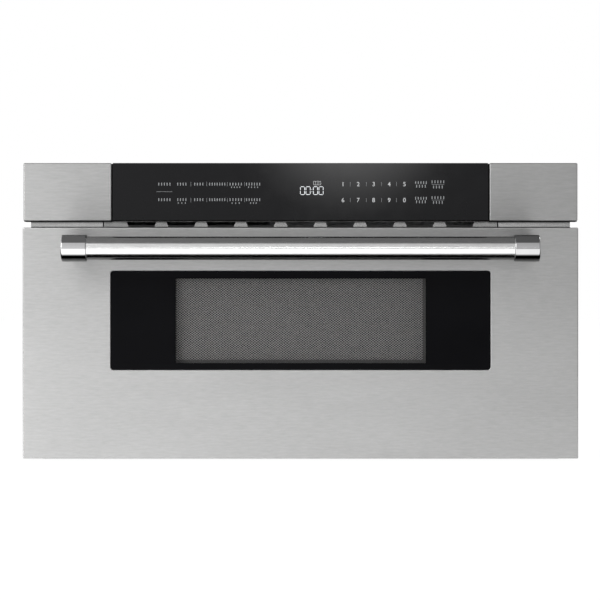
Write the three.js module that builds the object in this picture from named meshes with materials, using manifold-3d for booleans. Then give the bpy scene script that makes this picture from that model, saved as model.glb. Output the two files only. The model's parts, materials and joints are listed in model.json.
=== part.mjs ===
// Built-in microwave drawer, 30-inch class, as an assembly of separate parts.
// Millimetres. +X is to the right as seen from the room, +Y goes back into the cabinet and
// +Z is up. The parts are laid out from the cabinet's front face (y = 0) and from the bottom
// of the chassis (z = 0), and the whole unit is then shifted along Y so that its origin is
// the bottom centre of its box.
import * as THREE from 'three';
import { mergeVertices } from 'three/addons/utils/BufferGeometryUtils.js';
import Module from 'manifold-3d';

const wasm = await Module();
wasm.setup();

// ---------------------------------------------------------------- driving dimensions

// Clearances
const SEAT_GAP = 0.3; // between parts that are fastened face to face
const RUN_GAP = 0.3; // between parts that slide or turn on each other
const SHEET_EDGE_GAP = 0.5; // round a pane in its opening

// Overall
const FRONT_WIDTH = 761; // drawer front and control row, edge to edge
const UNIT_HEIGHT = 407.9; // bottom of the chassis to the top of the control row
const CONTROL_ROW_HEIGHT = 79.3;
const ROW_GAP = 9.6; // slit between the drawer front and the control row
const FRONT_LIFT = 2.6; // drawer front's lower edge above the bottom of the chassis
const DRAWER_FRONT_PROUD = 34; // drawer front's face ahead of the cabinet face
const CONTROL_ROW_PROUD = 26; // control row's face ahead of the cabinet face
const CHASSIS_DEPTH = 562;
const REAR_RECESS = 5; // rear panel's face inside the ends of the side panels
const FRAME_SIDE_INSET = 7.5; // front frame inside the edges of the drawer front
const FRAME_TOP_INSET = 6.9; // front frame below the top of the control row
const FLANGE_SIDE = 16; // front frame beyond each side of the chassis
const FLANGE_TOP = 29; // front frame above the chassis
const DRAWER_TRAVEL = 380;

// Sheet metal
const CHASSIS_SHEET = 1.2;
const FRAME_SHEET = 1.5;
const CAVITY_SHEET = 1;
const FRONT_SHEET = 1.2;
const SIDE_FOLD = 14; // side panels' folds, top and bottom
const REAR_VENT_WIDTH = 110;
const REAR_VENT_HEIGHT = 4;
const REAR_VENT_PITCH = 12;
const REAR_VENT_ROWS = 9;
const REAR_VENT_BOTTOM = 200;
const REAR_VENT_OFFSET = 230; // middle of each group of vents from the middle of the panel

// Oven cavity and drawer tray
const COMPARTMENT_WIDTH = 114; // between the cavity and the slides, on each side
const TRAY_INNER_DEPTH = 420;
const TRAY_WALL = 1.5;
const CERAMIC_THICKNESS = 5;
const CAVITY_SIDE_GAP = 6.5; // tray to cavity, each side
const CAVITY_REAR_GAP = 16;
const TRAY_LIFT = 5; // tray above the cavity floor
const CAVITY_HEADROOM = 18; // cavity ceiling above the rim of the tray
const CAVITY_FLOOR_HEIGHT = 77; // top of the cavity floor

// Drawer front
const FRONT_DEPTH = 21.7; // depth of the folded skin
const FRONT_LIP = 12; // its lips, folded in behind
const GLASS_WIDTH = 519.4;
const GLASS_HEIGHT = 135;
const GLASS_THICKNESS = 4;
const GLASS_RISE = 121.7; // glass above the drawer front's lower edge
const GLASS_SET_BACK = 0.3;
const GLASS_CORNER = 3.5;
const SCREEN_WIDTH = 343;
const SCREEN_HEIGHT = 116;
const SCREEN_RISE = 9; // screen's opening above the glass's lower edge
const SCREEN_THICKNESS = 0.8;
const SCREEN_OVERLAP = 9; // screen beyond its opening, each side
const DOOR_SHEET = 2; // inner door panel
const DOOR_SIDE_INSET = 8; // inner door panel inside the drawer front's edges
const DOOR_END_INSET = 9;
const CHOKE_WIDTH = 22; // choke cover beyond the mouth of the cavity, all round
const CHOKE_LAP = 3.5; // choke cover inside the mouth of the cavity
const CHOKE_AIR = 2; // choke cover to front frame, drawer shut

// Handle
const BAR_DIAMETER = 31.4;
const BAR_STANDOFF = 54; // bar's axis ahead of the drawer front's face
const BAR_DROP = 29.6; // bar's axis below the drawer front's upper edge
const CAP_END_INSET = 58; // ends of the handle inside the drawer front's edges
const CAP_WALL = 2.3; // cap outside the bar
const CAP_LENGTH = 33.5;
const CAP_CHAMFER = 2.2;
const CAP_MOUTH_CHAMFER = 0.7;
const CAP_SOCKET = 12; // depth of the bar in each cap
const POST_DIAMETER = 26;
const POST_INBOARD = 0.8; // post's axis inboard of the middle of the cap
const FOOT_RIM = 5.5; // foot outside the post
const FOOT_THICKNESS = 4;

// Control row
const CONTROL_GLASS_WIDTH = 515.4;
const CONTROL_GLASS_THICKNESS = 4;
const END_PANEL_GAP = 1.8; // black gap between the control glass and each end panel
const END_PANEL_CORNER = 2.5;
const HOUSING_WALL = 1.8;
const HOUSING_INSET = 3; // control housing inside the control glass's edges
const BOARD_THICKNESS = 1.6;
const BOARD_WIDTH = 300;
const BOARD_HEIGHT = 54;
const BOARD_STANDOFF = 4;
const BOSS_DIAMETER = 8;
const BOSS_INSET = 8; // boss's axis inside the board's edges
const DISPLAY_WIDTH = 40;
const DISPLAY_HEIGHT = 16;
const DISPLAY_OFFSET = 16.5; // display's middle right of the middle of the unit

// Vent grille, in the slit between the rows
const GRILLE_WIDTH = 544;
const GRILLE_SHEET = 1.2;
const GRILLE_LAP_BELOW = 8; // grille behind the drawer front
const GRILLE_LAP_ABOVE = 4.4; // grille behind the control row
const VENT_COUNT = 9;
const VENT_PITCH = 55;
const VENT_WIDTH = 42; // along the upper edge
const VENT_TAPER = 3; // each end slants in by this much at the lower edge
const VENT_HEIGHT = 6.6; // below the control row
const VENT_DUCT_MARGIN = 4; // slot in the front frame beyond the vents

// Slides
const SLIDE_LENGTH = 470;
const SLIDE_HEIGHT = 45;
const SLIDE_THICKNESS = 12.5;
const SLIDE_SHEET = 1.4;
const SLIDE_BOTTOM = 88;
const SLIDE_SLOT_CLEARANCE = 3;

// Drive
const RACK_MODULE = 1.5;
const RACK_HEIGHT = 12;
const RACK_BACK = 12; // rack's body behind its pitch line
const RACK_BOTTOM = 30;
const RACK_TAIL = 14; // rack left past the pinion, drawer fully open
const PINION_TEETH = 20;
const PINION_Y = 35; // drive gear's axis behind the cabinet face
const WHEEL_MODULE = 1;
const WHEEL_TEETH = 42;
const WHEEL_BOTTOM = 12;
const WHEEL_THICKNESS = 9;
const MOTOR_PINION_TEETH = 14;
const TOOTH_BACKLASH = 0.36;
const TOOTH_ROOT_DEPTH = 1.25; // modules below the pitch line
const PINION_PRESSURE_ANGLE = 20; // degrees
const WHEEL_PRESSURE_ANGLE = 25; // degrees
const DRIVE_SHAFT_DIAMETER = 8;
const MOTOR_SHAFT_DIAMETER = 6;
const RACK_FOOT = 3;
const GEARBOX_CLEARANCE = 2;
const GEARBOX_BOTTOM = 30;
const GEARBOX_SIZE = [58, 50, 28]; // along X, Y and Z
const DRIVE_MOTOR_DIAMETER = 28;
const DRIVE_MOTOR_LENGTH = 62;
const BRACKET_SHEET = 2;
const BRACKET_MARGIN = 8;

// Microwave source, stirrer and cooling
const WAVEGUIDE_WIDTH = 90;
const WAVEGUIDE_HEIGHT = 28;
const WAVEGUIDE_WALL = 1.2;
const STIRRER_RADIUS = 76;
const STIRRER_TIP_GAP = 3;
const STIRRER_SHEET = 1.5;
const STIRRER_ARMS = 4;
const STIRRER_ARM_WIDTH = 24;
const STIRRER_HOUSING_RADIUS = 94;
const STIRRER_HOUSING_HEIGHT = 21;
const STIRRER_COVER_SIZE = 212;
const STIRRER_COVER_THICKNESS = 2;
const STIRRER_SHAFT_DIAMETER = 5;
const STIRRER_HUB_DIAMETER = 15;
const STIRRER_MOTOR_DIAMETER = 50;
const STIRRER_MOTOR_HEIGHT = 18;
const STIRRER_MOTOR_HEADROOM = 14.1; // stirrer motor to the top cover
const FEED_HOLE_DIAMETER = 60;
const MAGNETRON_SIZE = [84, 80, 84];
const MAGNETRON_FILTER_HEIGHT = 34;
const MAGNETRON_YOKE = 2;
const MAGNETRON_ANODE_DIAMETER = 35;
const MAGNETRON_FIN = 1;
const MAGNETRON_CLEAR_OF_CAVITY = 22;
const ANTENNA_DIAMETER = 15;
const ANTENNA_LENGTH = 20;
const FIN_COUNT = 6;
const FAN_RADIUS = 43;
const FAN_TIP_GAP = 2;
const FAN_Y = 300; // front of the fan's shroud
const FAN_HEIGHT = 236; // fan's axis
const FAN_BLADES = 7;
const FAN_DEPTH = 16;
const FAN_WALL = 1.5;
const FAN_PLATE_MARGIN = 14;
const FAN_ARMS = 3; // bars across the ring
const FAN_ARM_WIDTH = 8;
const FAN_HUB_DIAMETER = 24;
const FAN_SHAFT_DIAMETER = 5;
const FAN_ARM_BORE = 15;
const FAN_BLADE_ROOT = 8; // blade's inner end from the axis
const FAN_BLADE_END = 1; // blade's corners inside the fan's radius
const FAN_BLADE_CHORD = 20;
const FAN_BLADE_PITCH = 0.62; // radians from the plane of the fan
const FAN_MOTOR_DIAMETER = 52;
const FAN_MOTOR_LENGTH = 28;

// Electrics
const TRANSFORMER_CORE_SIZE = [92, 50, 78];
const TRANSFORMER_COIL_SIZE = [55, 100, 47];
const TRANSFORMER_REAR_GAP = 60.8; // coil to the rear panel
const CAPACITOR_SIZE = [92, 34, 52];
const CAPACITOR_CORNER = 15.3;
const CAPACITOR_X = 120;
const CAPACITOR_CLEARANCE = 30; // behind the cavity
const TERMINAL_SIZE = [6, 1.5, 9];
const POWER_BOARD_SIZE = [92, 150, 3];
const POWER_BOARD_REAR_GAP = 35.8; // board to the rear panel
const RELAY_SIZE = 23;
const RELAY_COUNT = 3;
const RELAY_PITCH = 46;
const GLAND_DIAMETER = 24;
const GLAND_BORE = 9;
const GLAND_FLANGE = 2.5;
const GLAND_FLANGE_WIDTH = 4;
const GLAND_TAIL = 14;
const GLAND_SIDE_INSET = 57; // gland's axis inside the left side of the chassis
const GLAND_HEIGHT = 60;
const LAMP_SIZE = [30, 34, 30];
const LAMP_BASE_DIAMETER = 15;
const LAMP_BASE_LENGTH = 15;
const LAMP_Y = 330;
const LAMP_HEIGHT = 240;

// Interlock switches
const STRIKER_OFFSET = 14; // striker outboard of the middle of the compartment
const STRIKER_HEIGHT = 230;
const STRIKER_DIAMETER = 9;
const STRIKER_REACH = 4; // striker's end behind the cabinet face
const STRIKER_CLEARANCE = 2;
const PLUNGER_DIAMETER = 6;
const PLUNGER_LENGTH = 17;
const PLUNGER_HEAD = 2;
const PLUNGER_OVERTRAVEL = 1.5;
const SWITCH_SIZE = [30, 30, 36];

// Modelling
const BAR_SEGMENTS = 32;
const MOTOR_SEGMENTS = 24;
const SHAFT_SEGMENTS = 16;
const PIN_SEGMENTS = 12;
const NUT_SIDES = 6;
const PAST = 1; // how far a cutter runs past a face, and a joined piece into its neighbour

// ---------------------------------------------------------------- places worked out from them

const ROW_TOP = UNIT_HEIGHT;
const ROW_BOTTOM = ROW_TOP - CONTROL_ROW_HEIGHT;
const FRONT_TOP = ROW_BOTTOM - ROW_GAP;
const FRONT_FACE_Y = -DRAWER_FRONT_PROUD;
const SKIN_BACK_Y = FRONT_FACE_Y + FRONT_DEPTH;
const DOOR_FRONT_Y = SKIN_BACK_Y + SEAT_GAP;
const DOOR_BACK_Y = DOOR_FRONT_Y + DOOR_SHEET;
const TRAY_FRONT_Y = DOOR_BACK_Y + SEAT_GAP;
const FRAME_FRONT_Y = -FRAME_SHEET;
const GRILLE_FRONT_Y = FRAME_FRONT_Y - SEAT_GAP - GRILLE_SHEET;
const ROW_FACE_Y = -CONTROL_ROW_PROUD;
const ROW_BACK_Y = GRILLE_FRONT_Y - SEAT_GAP;
const FLANGE_HALF = FRONT_WIDTH / 2 - FRAME_SIDE_INSET;
const FRAME_TOP = ROW_TOP - FRAME_TOP_INSET;
const CHASSIS_HALF = FLANGE_HALF - FLANGE_SIDE;
const CHASSIS_HEIGHT = FRAME_TOP - FLANGE_TOP;
const CHASSIS_FRONT_Y = SEAT_GAP;
const REAR_FACE_Y = CHASSIS_DEPTH - REAR_RECESS;
const REAR_INNER_Y = REAR_FACE_Y - CHASSIS_SHEET;

const SLIDE_MIDDLE = SLIDE_BOTTOM + SLIDE_HEIGHT / 2;
const SLIDE_OUTER_X = CHASSIS_HALF - CHASSIS_SHEET - SEAT_GAP;
const SLIDE_INNER_X = SLIDE_OUTER_X - SLIDE_THICKNESS;

// Across, from the slides in to the tray
const CAVITY_OUTER_HALF = SLIDE_INNER_X - COMPARTMENT_WIDTH;
const CAVITY_HALF = CAVITY_OUTER_HALF - CAVITY_SHEET;
const TRAY_OUTER_HALF = CAVITY_HALF - CAVITY_SIDE_GAP;
const TRAY_INNER_HALF = TRAY_OUTER_HALF - TRAY_WALL;
const COMPARTMENT_X = (CAVITY_OUTER_HALF + SLIDE_INNER_X) / 2;

// Down, from the top cover to the rim of the tray
const WAVEGUIDE_TOP = CHASSIS_HEIGHT - CHASSIS_SHEET - STIRRER_MOTOR_HEADROOM
  - STIRRER_MOTOR_HEIGHT - SEAT_GAP;
const WAVEGUIDE_BOTTOM = WAVEGUIDE_TOP - WAVEGUIDE_HEIGHT;
const HOUSING_ROOF = WAVEGUIDE_BOTTOM - SEAT_GAP;
const CAVITY_ROOF = HOUSING_ROOF - STIRRER_HOUSING_HEIGHT - SEAT_GAP;
const CAVITY_TOP = CAVITY_ROOF - CAVITY_SHEET;
const TRAY_RIM = CAVITY_TOP - CAVITY_HEADROOM;

// Up, from the cavity floor to the ceramic plate
const TRAY_BOTTOM = CAVITY_FLOOR_HEIGHT + TRAY_LIFT;
const CERAMIC_BOTTOM = TRAY_BOTTOM + TRAY_WALL + SEAT_GAP;
const CERAMIC_TOP = CERAMIC_BOTTOM + CERAMIC_THICKNESS;

// Back, from the door to the cavity's rear wall
const TRAY_BACK_Y = TRAY_FRONT_Y + TRAY_INNER_DEPTH;
const CAVITY_BACK_Y = TRAY_BACK_Y + TRAY_WALL + CAVITY_REAR_GAP;
const CAVITY_MIDDLE_Y = CAVITY_BACK_Y / 2;

const GLASS_BOTTOM = FRONT_LIFT + GLASS_RISE;
const SCREEN_BOTTOM = GLASS_BOTTOM + SCREEN_RISE;
const VENT_TOP = ROW_BOTTOM;
const VENT_BOTTOM = VENT_TOP - VENT_HEIGHT;

const CAP_DIAMETER = BAR_DIAMETER + 2 * CAP_WALL;
const FOOT_DIAMETER = POST_DIAMETER + 2 * FOOT_RIM;
const BAR_Y = FRONT_FACE_Y - BAR_STANDOFF;
const BAR_Z = FRONT_TOP - BAR_DROP;
const HANDLE_FRONT_Y = BAR_Y - CAP_DIAMETER / 2;
const CAP_OUTER = FRONT_WIDTH / 2 - CAP_END_INSET;
const CAP_INNER = CAP_OUTER - CAP_LENGTH;
const POST_X = (CAP_INNER + CAP_OUTER) / 2 - POST_INBOARD;

const PINION_RADIUS = RACK_MODULE * PINION_TEETH / 2;
const WHEEL_RADIUS = WHEEL_MODULE * WHEEL_TEETH / 2;
const MOTOR_PINION_RADIUS = WHEEL_MODULE * MOTOR_PINION_TEETH / 2;
const RACK_TOP = RACK_BOTTOM + RACK_HEIGHT;
const RACK_END_Y = PINION_Y + DRAWER_TRAVEL + RACK_TAIL;
const MOTOR_X = PINION_RADIUS + WHEEL_RADIUS + MOTOR_PINION_RADIUS;

const MAGNETRON_X = CAVITY_OUTER_HALF + MAGNETRON_CLEAR_OF_CAVITY + MAGNETRON_SIZE[0] / 2;
const STRIKER_X = COMPARTMENT_X + STRIKER_OFFSET;
const GLAND_X = GLAND_SIDE_INSET - CHASSIS_HALF;

// ---------------------------------------------------------------- materials

function finish(color, metalness, roughness) {
  return new THREE.MeshStandardMaterial({ color, metalness, roughness });
}

const stainless = finish(0xb9b9b8, 0.9, 0.34);
const chrome = finish(0xd2d3d4, 1, 0.12);
const galvanised = finish(0x9da0a1, 0.8, 0.45);
const zinc = finish(0xa9abac, 0.8, 0.4);
const enamel = finish(0x63666a, 0.2, 0.4);
const blackGlass = finish(0x0d0e10, 0, 0.08);
const blackPlastic = finish(0x161718, 0, 0.55);
const ceramic = finish(0xd8d6cf, 0, 0.3);
const nylon = finish(0xdedcd4, 0, 0.5);
const mica = finish(0xc9c2b0, 0, 0.6);
const circuitBoard = finish(0x2c5136, 0, 0.5);
const iron = finish(0x4a4640, 0.6, 0.6);
const aluminium = finish(0xb4b6b8, 0.9, 0.4);

// ---------------------------------------------------------------- shape helpers

const unit = new THREE.Group();

const numbered = (count) => Array.from({ length: count }, (_, i) => i);

function piece(name, material, geometry) {
  const mesh = new THREE.Mesh(geometry, material);
  mesh.name = name;
  unit.add(mesh);
}

// [low, high] of a length about its middle, and of a length from its low end.
const about = (middle, length) => [middle - length / 2, middle + length / 2];
const from = (low, length) => [low, low + length];
// The same stretch on the other side of the middle plane.
const mirrored = ([low, high]) => [-high, -low];
const onSide = (side, span) => (side > 0 ? span : mirrored(span));

function block(x, y, z) {
  const geometry = new THREE.BoxGeometry(x[1] - x[0], y[1] - y[0], z[1] - z[0]);
  return geometry.translate((x[0] + x[1]) / 2, (y[0] + y[1]) / 2, (z[0] + z[1]) / 2);
}

function outline(points) {
  return new THREE.Shape(points.map(([u, v]) => new THREE.Vector2(u, v)));
}

// An outline in the XY plane, raised along Z.
function prismZ(shape, z) {
  const geometry = new THREE.ExtrudeGeometry(shape, { depth: z[1] - z[0], bevelEnabled: false });
  return geometry.translate(0, 0, z[0]);
}

// An outline in the XZ plane, drawn back along Y.
function prismY(shape, y, curveSegments = 4) {
  const depth = y[1] - y[0];
  const geometry = new THREE.ExtrudeGeometry(shape, { depth, bevelEnabled: false, curveSegments });
  return geometry.rotateX(Math.PI / 2).translate(0, y[1], 0);
}

function rodX(diameter, x, y, z, segments = BAR_SEGMENTS) {
  const geometry = new THREE.CylinderGeometry(diameter / 2, diameter / 2, x[1] - x[0], segments);
  return geometry.rotateZ(Math.PI / 2).translate((x[0] + x[1]) / 2, y, z);
}

function rodY(diameter, x, y, z, segments = BAR_SEGMENTS) {
  const geometry = new THREE.CylinderGeometry(diameter / 2, diameter / 2, y[1] - y[0], segments);
  return geometry.translate(x, (y[0] + y[1]) / 2, z);
}

function rodZ(diameter, x, y, z, segments = BAR_SEGMENTS) {
  const geometry = new THREE.CylinderGeometry(diameter / 2, diameter / 2, z[1] - z[0], segments);
  return geometry.rotateX(Math.PI / 2).translate(x, y, (z[0] + z[1]) / 2);
}

function roundedOutline(x, z, radius) {
  const shape = new THREE.Shape();
  shape.moveTo(x[0] + radius, z[0]);
  shape.lineTo(x[1] - radius, z[0]);
  shape.absarc(x[1] - radius, z[0] + radius, radius, -Math.PI / 2, 0);
  shape.lineTo(x[1], z[1] - radius);
  shape.absarc(x[1] - radius, z[1] - radius, radius, 0, Math.PI / 2);
  shape.lineTo(x[0] + radius, z[1]);
  shape.absarc(x[0] + radius, z[1] - radius, radius, Math.PI / 2, Math.PI);
  shape.lineTo(x[0], z[0] + radius);
  shape.absarc(x[0] + radius, z[0] + radius, radius, Math.PI, 1.5 * Math.PI);
  return shape;
}

function solid(geometry) {
  const bare = geometry.clone();
  bare.deleteAttribute('normal');
  bare.deleteAttribute('uv');
  const merged = mergeVertices(bare, 1e-4);
  const vertProperties = merged.attributes.position.array;
  const triVerts = new Uint32Array(merged.index.array);
  return new wasm.Manifold(new wasm.Mesh({ numProp: 3, vertProperties, triVerts }));
}

function surface(manifold) {
  const mesh = manifold.getMesh();
  const geometry = new THREE.BufferGeometry();
  geometry.setAttribute('position', new THREE.BufferAttribute(mesh.vertProperties, 3));
  geometry.setIndex(new THREE.BufferAttribute(mesh.triVerts, 1));
  geometry.computeVertexNormals();
  return geometry;
}

function cut(body, ...tools) {
  return surface(tools.reduce((rest, tool) => rest.subtract(solid(tool)), solid(body)));
}

function join(body, ...others) {
  return surface(others.reduce((sum, other) => sum.add(solid(other)), solid(body)));
}

// The outline of a spur gear: involute flanks above the base circle and radial ones below
// it, thinned by half the backlash, with a tooth's middle at the angle `start`.
function gearOutline(module, teeth, pressureAngle, start) {
  const pitch = module * teeth / 2;
  const alpha = THREE.MathUtils.degToRad(pressureAngle);
  const base = pitch * Math.cos(alpha);
  const root = pitch - TOOTH_ROOT_DEPTH * module;
  const tip = pitch + module;
  const involute = (radius) => {
    const phi = Math.acos(Math.min(1, base / radius));
    return Math.tan(phi) - phi;
  };
  const halfAtPitch = Math.PI / (2 * teeth) - TOOTH_BACKLASH / (4 * pitch);
  const flank = [root, Math.max(base, root + 0.1), pitch, tip];
  const halfAt = (radius) => halfAtPitch + involute(pitch) - involute(Math.max(radius, base));
  const points = [];
  for (let tooth = 0; tooth < teeth; tooth += 1) {
    const middle = start + tooth * 2 * Math.PI / teeth;
    const rising = flank.map((radius) => [radius, middle - halfAt(radius)]);
    const falling = flank.map((radius) => [radius, middle + halfAt(radius)]).reverse();
    points.push(...rising, ...falling);
  }
  return outline(points.map(([radius, angle]) => [radius * Math.cos(angle), radius * Math.sin(angle)]));
}

// ---------------------------------------------------------------- chassis

function chassisCase() {
  const width = [-CHASSIS_HALF, CHASSIS_HALF];
  const depth = [CHASSIS_FRONT_Y, CHASSIS_DEPTH];
  const side = [CHASSIS_SHEET + SEAT_GAP, CHASSIS_HEIGHT - CHASSIS_SHEET - SEAT_GAP];
  const web = [side[0] + CHASSIS_SHEET, side[1] - CHASSIS_SHEET];
  piece('base_pan', galvanised, block(width, depth, [0, CHASSIS_SHEET]));
  piece('top_cover', galvanised, block(width, depth, [CHASSIS_HEIGHT - CHASSIS_SHEET, CHASSIS_HEIGHT]));
  for (const [name, hand] of [['left_side_panel', -1], ['right_side_panel', 1]]) {
    const folded = block(onSide(hand, [CHASSIS_HALF - SIDE_FOLD, CHASSIS_HALF]), depth, side);
    const hollow = onSide(hand, [CHASSIS_HALF - 2 * SIDE_FOLD, CHASSIS_HALF - CHASSIS_SHEET]);
    piece(name, galvanised, cut(folded, block(hollow, [-PAST, CHASSIS_DEPTH + PAST], web)));
  }
  const panelHalf = CHASSIS_HALF - CHASSIS_SHEET - SEAT_GAP;
  const panel = block([-panelHalf, panelHalf], [REAR_INNER_Y, REAR_FACE_Y],
    [web[0] + SEAT_GAP, web[1] - SEAT_GAP]);
  const through = [REAR_INNER_Y - PAST, REAR_FACE_Y + PAST];
  const openings = [rodY(GLAND_DIAMETER + 2 * SEAT_GAP, GLAND_X, through, GLAND_HEIGHT)];
  for (const middle of [-REAR_VENT_OFFSET, REAR_VENT_OFFSET]) {
    for (let row = 0; row < REAR_VENT_ROWS; row += 1) {
      const z = REAR_VENT_BOTTOM + row * REAR_VENT_PITCH;
      openings.push(block(about(middle, REAR_VENT_WIDTH), through, from(z, REAR_VENT_HEIGHT)));
    }
  }
  piece('rear_panel', galvanised, cut(panel, ...openings));
}

function cordGland() {
  const flange = from(REAR_FACE_Y + SEAT_GAP, GLAND_FLANGE);
  const nut = [REAR_INNER_Y - SEAT_GAP - GLAND_FLANGE, REAR_INNER_Y - SEAT_GAP];
  const wide = GLAND_DIAMETER + 2 * GLAND_FLANGE_WIDTH;
  piece('cord_gland', blackPlastic, cut(
    join(
      rodY(GLAND_DIAMETER, GLAND_X, [nut[0] - GLAND_TAIL, flange[1]], GLAND_HEIGHT),
      rodY(wide, GLAND_X, flange, GLAND_HEIGHT),
      rodY(wide, GLAND_X, nut, GLAND_HEIGHT, NUT_SIDES),
    ),
    rodY(GLAND_BORE, GLAND_X, [nut[0] - GLAND_TAIL - PAST, flange[1] + PAST], GLAND_HEIGHT),
  ));
}

function frontFrame() {
  const through = [FRAME_FRONT_Y - PAST, PAST];
  const clear = SLIDE_SLOT_CLEARANCE;
  const ventHalf = (VENT_PITCH * (VENT_COUNT - 1) + VENT_WIDTH) / 2 + VENT_DUCT_MARGIN;
  const openings = [
    block([-CAVITY_HALF, CAVITY_HALF], through, [CAVITY_FLOOR_HEIGHT, CAVITY_TOP]),
    block([-RACK_BACK - clear, RACK_MODULE + clear], through, [RACK_BOTTOM - clear, RACK_TOP + clear]),
    block([-ventHalf, ventHalf], through, [VENT_BOTTOM - VENT_DUCT_MARGIN, VENT_TOP + VENT_DUCT_MARGIN]),
  ];
  for (const hand of [-1, 1]) {
    const slot = onSide(hand, [SLIDE_INNER_X - clear, SLIDE_OUTER_X + clear]);
    openings.push(block(slot, through, [SLIDE_BOTTOM - clear, SLIDE_BOTTOM + SLIDE_HEIGHT + clear]));
    openings.push(rodY(STRIKER_DIAMETER + 2 * STRIKER_CLEARANCE, hand * STRIKER_X, through,
      STRIKER_HEIGHT, SHAFT_SEGMENTS));
  }
  const plate = block([-FLANGE_HALF, FLANGE_HALF], [FRAME_FRONT_Y, 0],
    [FRONT_LIFT, FRAME_TOP]);
  piece('front_frame', stainless, cut(plate, ...openings));
}

function ventGrille() {
  const y = [GRILLE_FRONT_Y, GRILLE_FRONT_Y + GRILLE_SHEET];
  const strip = block([-GRILLE_WIDTH / 2, GRILLE_WIDTH / 2], y,
    [FRONT_TOP - GRILLE_LAP_BELOW, ROW_BOTTOM + GRILLE_LAP_ABOVE]);
  const vents = [];
  for (let i = 0; i < VENT_COUNT; i += 1) {
    const middle = (i - (VENT_COUNT - 1) / 2) * VENT_PITCH;
    const [left, right] = about(middle, VENT_WIDTH);
    vents.push(prismY(outline([
      [left + VENT_TAPER, VENT_BOTTOM],
      [right - VENT_TAPER, VENT_BOTTOM],
      [right, VENT_TOP],
      [left, VENT_TOP],
    ]), [y[0] - PAST, y[1] + PAST]));
  }
  piece('vent_grille', stainless, cut(strip, ...vents));
}

// ---------------------------------------------------------------- control row

function controlRow() {
  const z = [ROW_BOTTOM, ROW_TOP];
  const glassHalf = CONTROL_GLASS_WIDTH / 2;
  const glassBackY = ROW_FACE_Y + CONTROL_GLASS_THICKNESS;
  piece('control_glass', blackGlass, block([-glassHalf, glassHalf], [ROW_FACE_Y, glassBackY], z));

  for (const [name, hand] of [['left_end_panel', -1], ['right_end_panel', 1]]) {
    const x = onSide(hand, [glassHalf + END_PANEL_GAP, FRONT_WIDTH / 2]);
    const skin = prismY(roundedOutline(x, z, END_PANEL_CORNER), [ROW_FACE_Y, ROW_BACK_Y]);
    const inside = block([x[0] + FRONT_SHEET, x[1] - FRONT_SHEET],
      [ROW_FACE_Y + FRONT_SHEET, ROW_BACK_Y + PAST], [z[0] + FRONT_SHEET, z[1] - FRONT_SHEET]);
    piece(name, stainless, cut(skin, inside));
  }

  const housingHalf = glassHalf - HOUSING_INSET;
  const housingFrontY = glassBackY + SEAT_GAP;
  const wallBackY = housingFrontY + HOUSING_WALL;
  const boardY = from(wallBackY + BOARD_STANDOFF + SEAT_GAP, BOARD_THICKNESS);
  const middleZ = (z[0] + z[1]) / 2;
  const shell = block([-housingHalf, housingHalf], [housingFrontY, ROW_BACK_Y],
    [z[0] + HOUSING_INSET, z[1] - HOUSING_INSET]);
  const hollow = block([-housingHalf + HOUSING_WALL, housingHalf - HOUSING_WALL],
    [wallBackY, ROW_BACK_Y + PAST],
    [z[0] + HOUSING_INSET + HOUSING_WALL, z[1] - HOUSING_INSET - HOUSING_WALL]);
  const displayWindow = block(about(DISPLAY_OFFSET, DISPLAY_WIDTH), [housingFrontY - PAST, wallBackY + PAST],
    about(middleZ, DISPLAY_HEIGHT));
  const bosses = [];
  for (const x of about(0, BOARD_WIDTH - 2 * BOSS_INSET)) {
    for (const bossZ of about(middleZ, BOARD_HEIGHT - 2 * BOSS_INSET)) {
      bosses.push(rodY(BOSS_DIAMETER, x, [wallBackY - HOUSING_WALL / 2, wallBackY + BOARD_STANDOFF],
        bossZ, PIN_SEGMENTS));
    }
  }
  piece('control_housing', blackPlastic, join(cut(shell, hollow, displayWindow), ...bosses));
  piece('control_board', circuitBoard,
    block(about(0, BOARD_WIDTH), boardY, about(middleZ, BOARD_HEIGHT)));
  piece('display_module', blackPlastic, block(
    about(DISPLAY_OFFSET, DISPLAY_WIDTH - 2 * SHEET_EDGE_GAP),
    [housingFrontY, boardY[0] - SEAT_GAP],
    about(middleZ, DISPLAY_HEIGHT - 2 * SHEET_EDGE_GAP),
  ));
}

// ---------------------------------------------------------------- oven cavity and its feed

function ovenCavity() {
  const width = [-CAVITY_OUTER_HALF, CAVITY_OUTER_HALF];
  const depth = [CHASSIS_FRONT_Y, CAVITY_BACK_Y];
  const wall = [CAVITY_FLOOR_HEIGHT + SEAT_GAP, CAVITY_TOP - SEAT_GAP];
  const underside = CAVITY_FLOOR_HEIGHT - CAVITY_SHEET;
  piece('cavity_floor', enamel, block(width, depth, [underside, CAVITY_FLOOR_HEIGHT]));
  piece('cavity_left', enamel, block([-CAVITY_OUTER_HALF, -CAVITY_HALF], depth, wall));
  piece('cavity_right', enamel, block([CAVITY_HALF, CAVITY_OUTER_HALF], depth, wall));
  piece('cavity_back', enamel, block(width, from(CAVITY_BACK_Y + SEAT_GAP, CAVITY_SHEET),
    [underside, CAVITY_ROOF]));
  piece('cavity_top', enamel, cut(
    block(width, depth, [CAVITY_TOP, CAVITY_ROOF]),
    rodZ(2 * (STIRRER_RADIUS + STIRRER_TIP_GAP), 0, CAVITY_MIDDLE_Y,
      [CAVITY_TOP - PAST, CAVITY_ROOF + PAST]),
  ));
  piece('stirrer_cover', mica, block(
    about(0, STIRRER_COVER_SIZE),
    about(CAVITY_MIDDLE_Y, STIRRER_COVER_SIZE),
    [CAVITY_TOP - SEAT_GAP - STIRRER_COVER_THICKNESS, CAVITY_TOP - SEAT_GAP],
  ));
}

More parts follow.
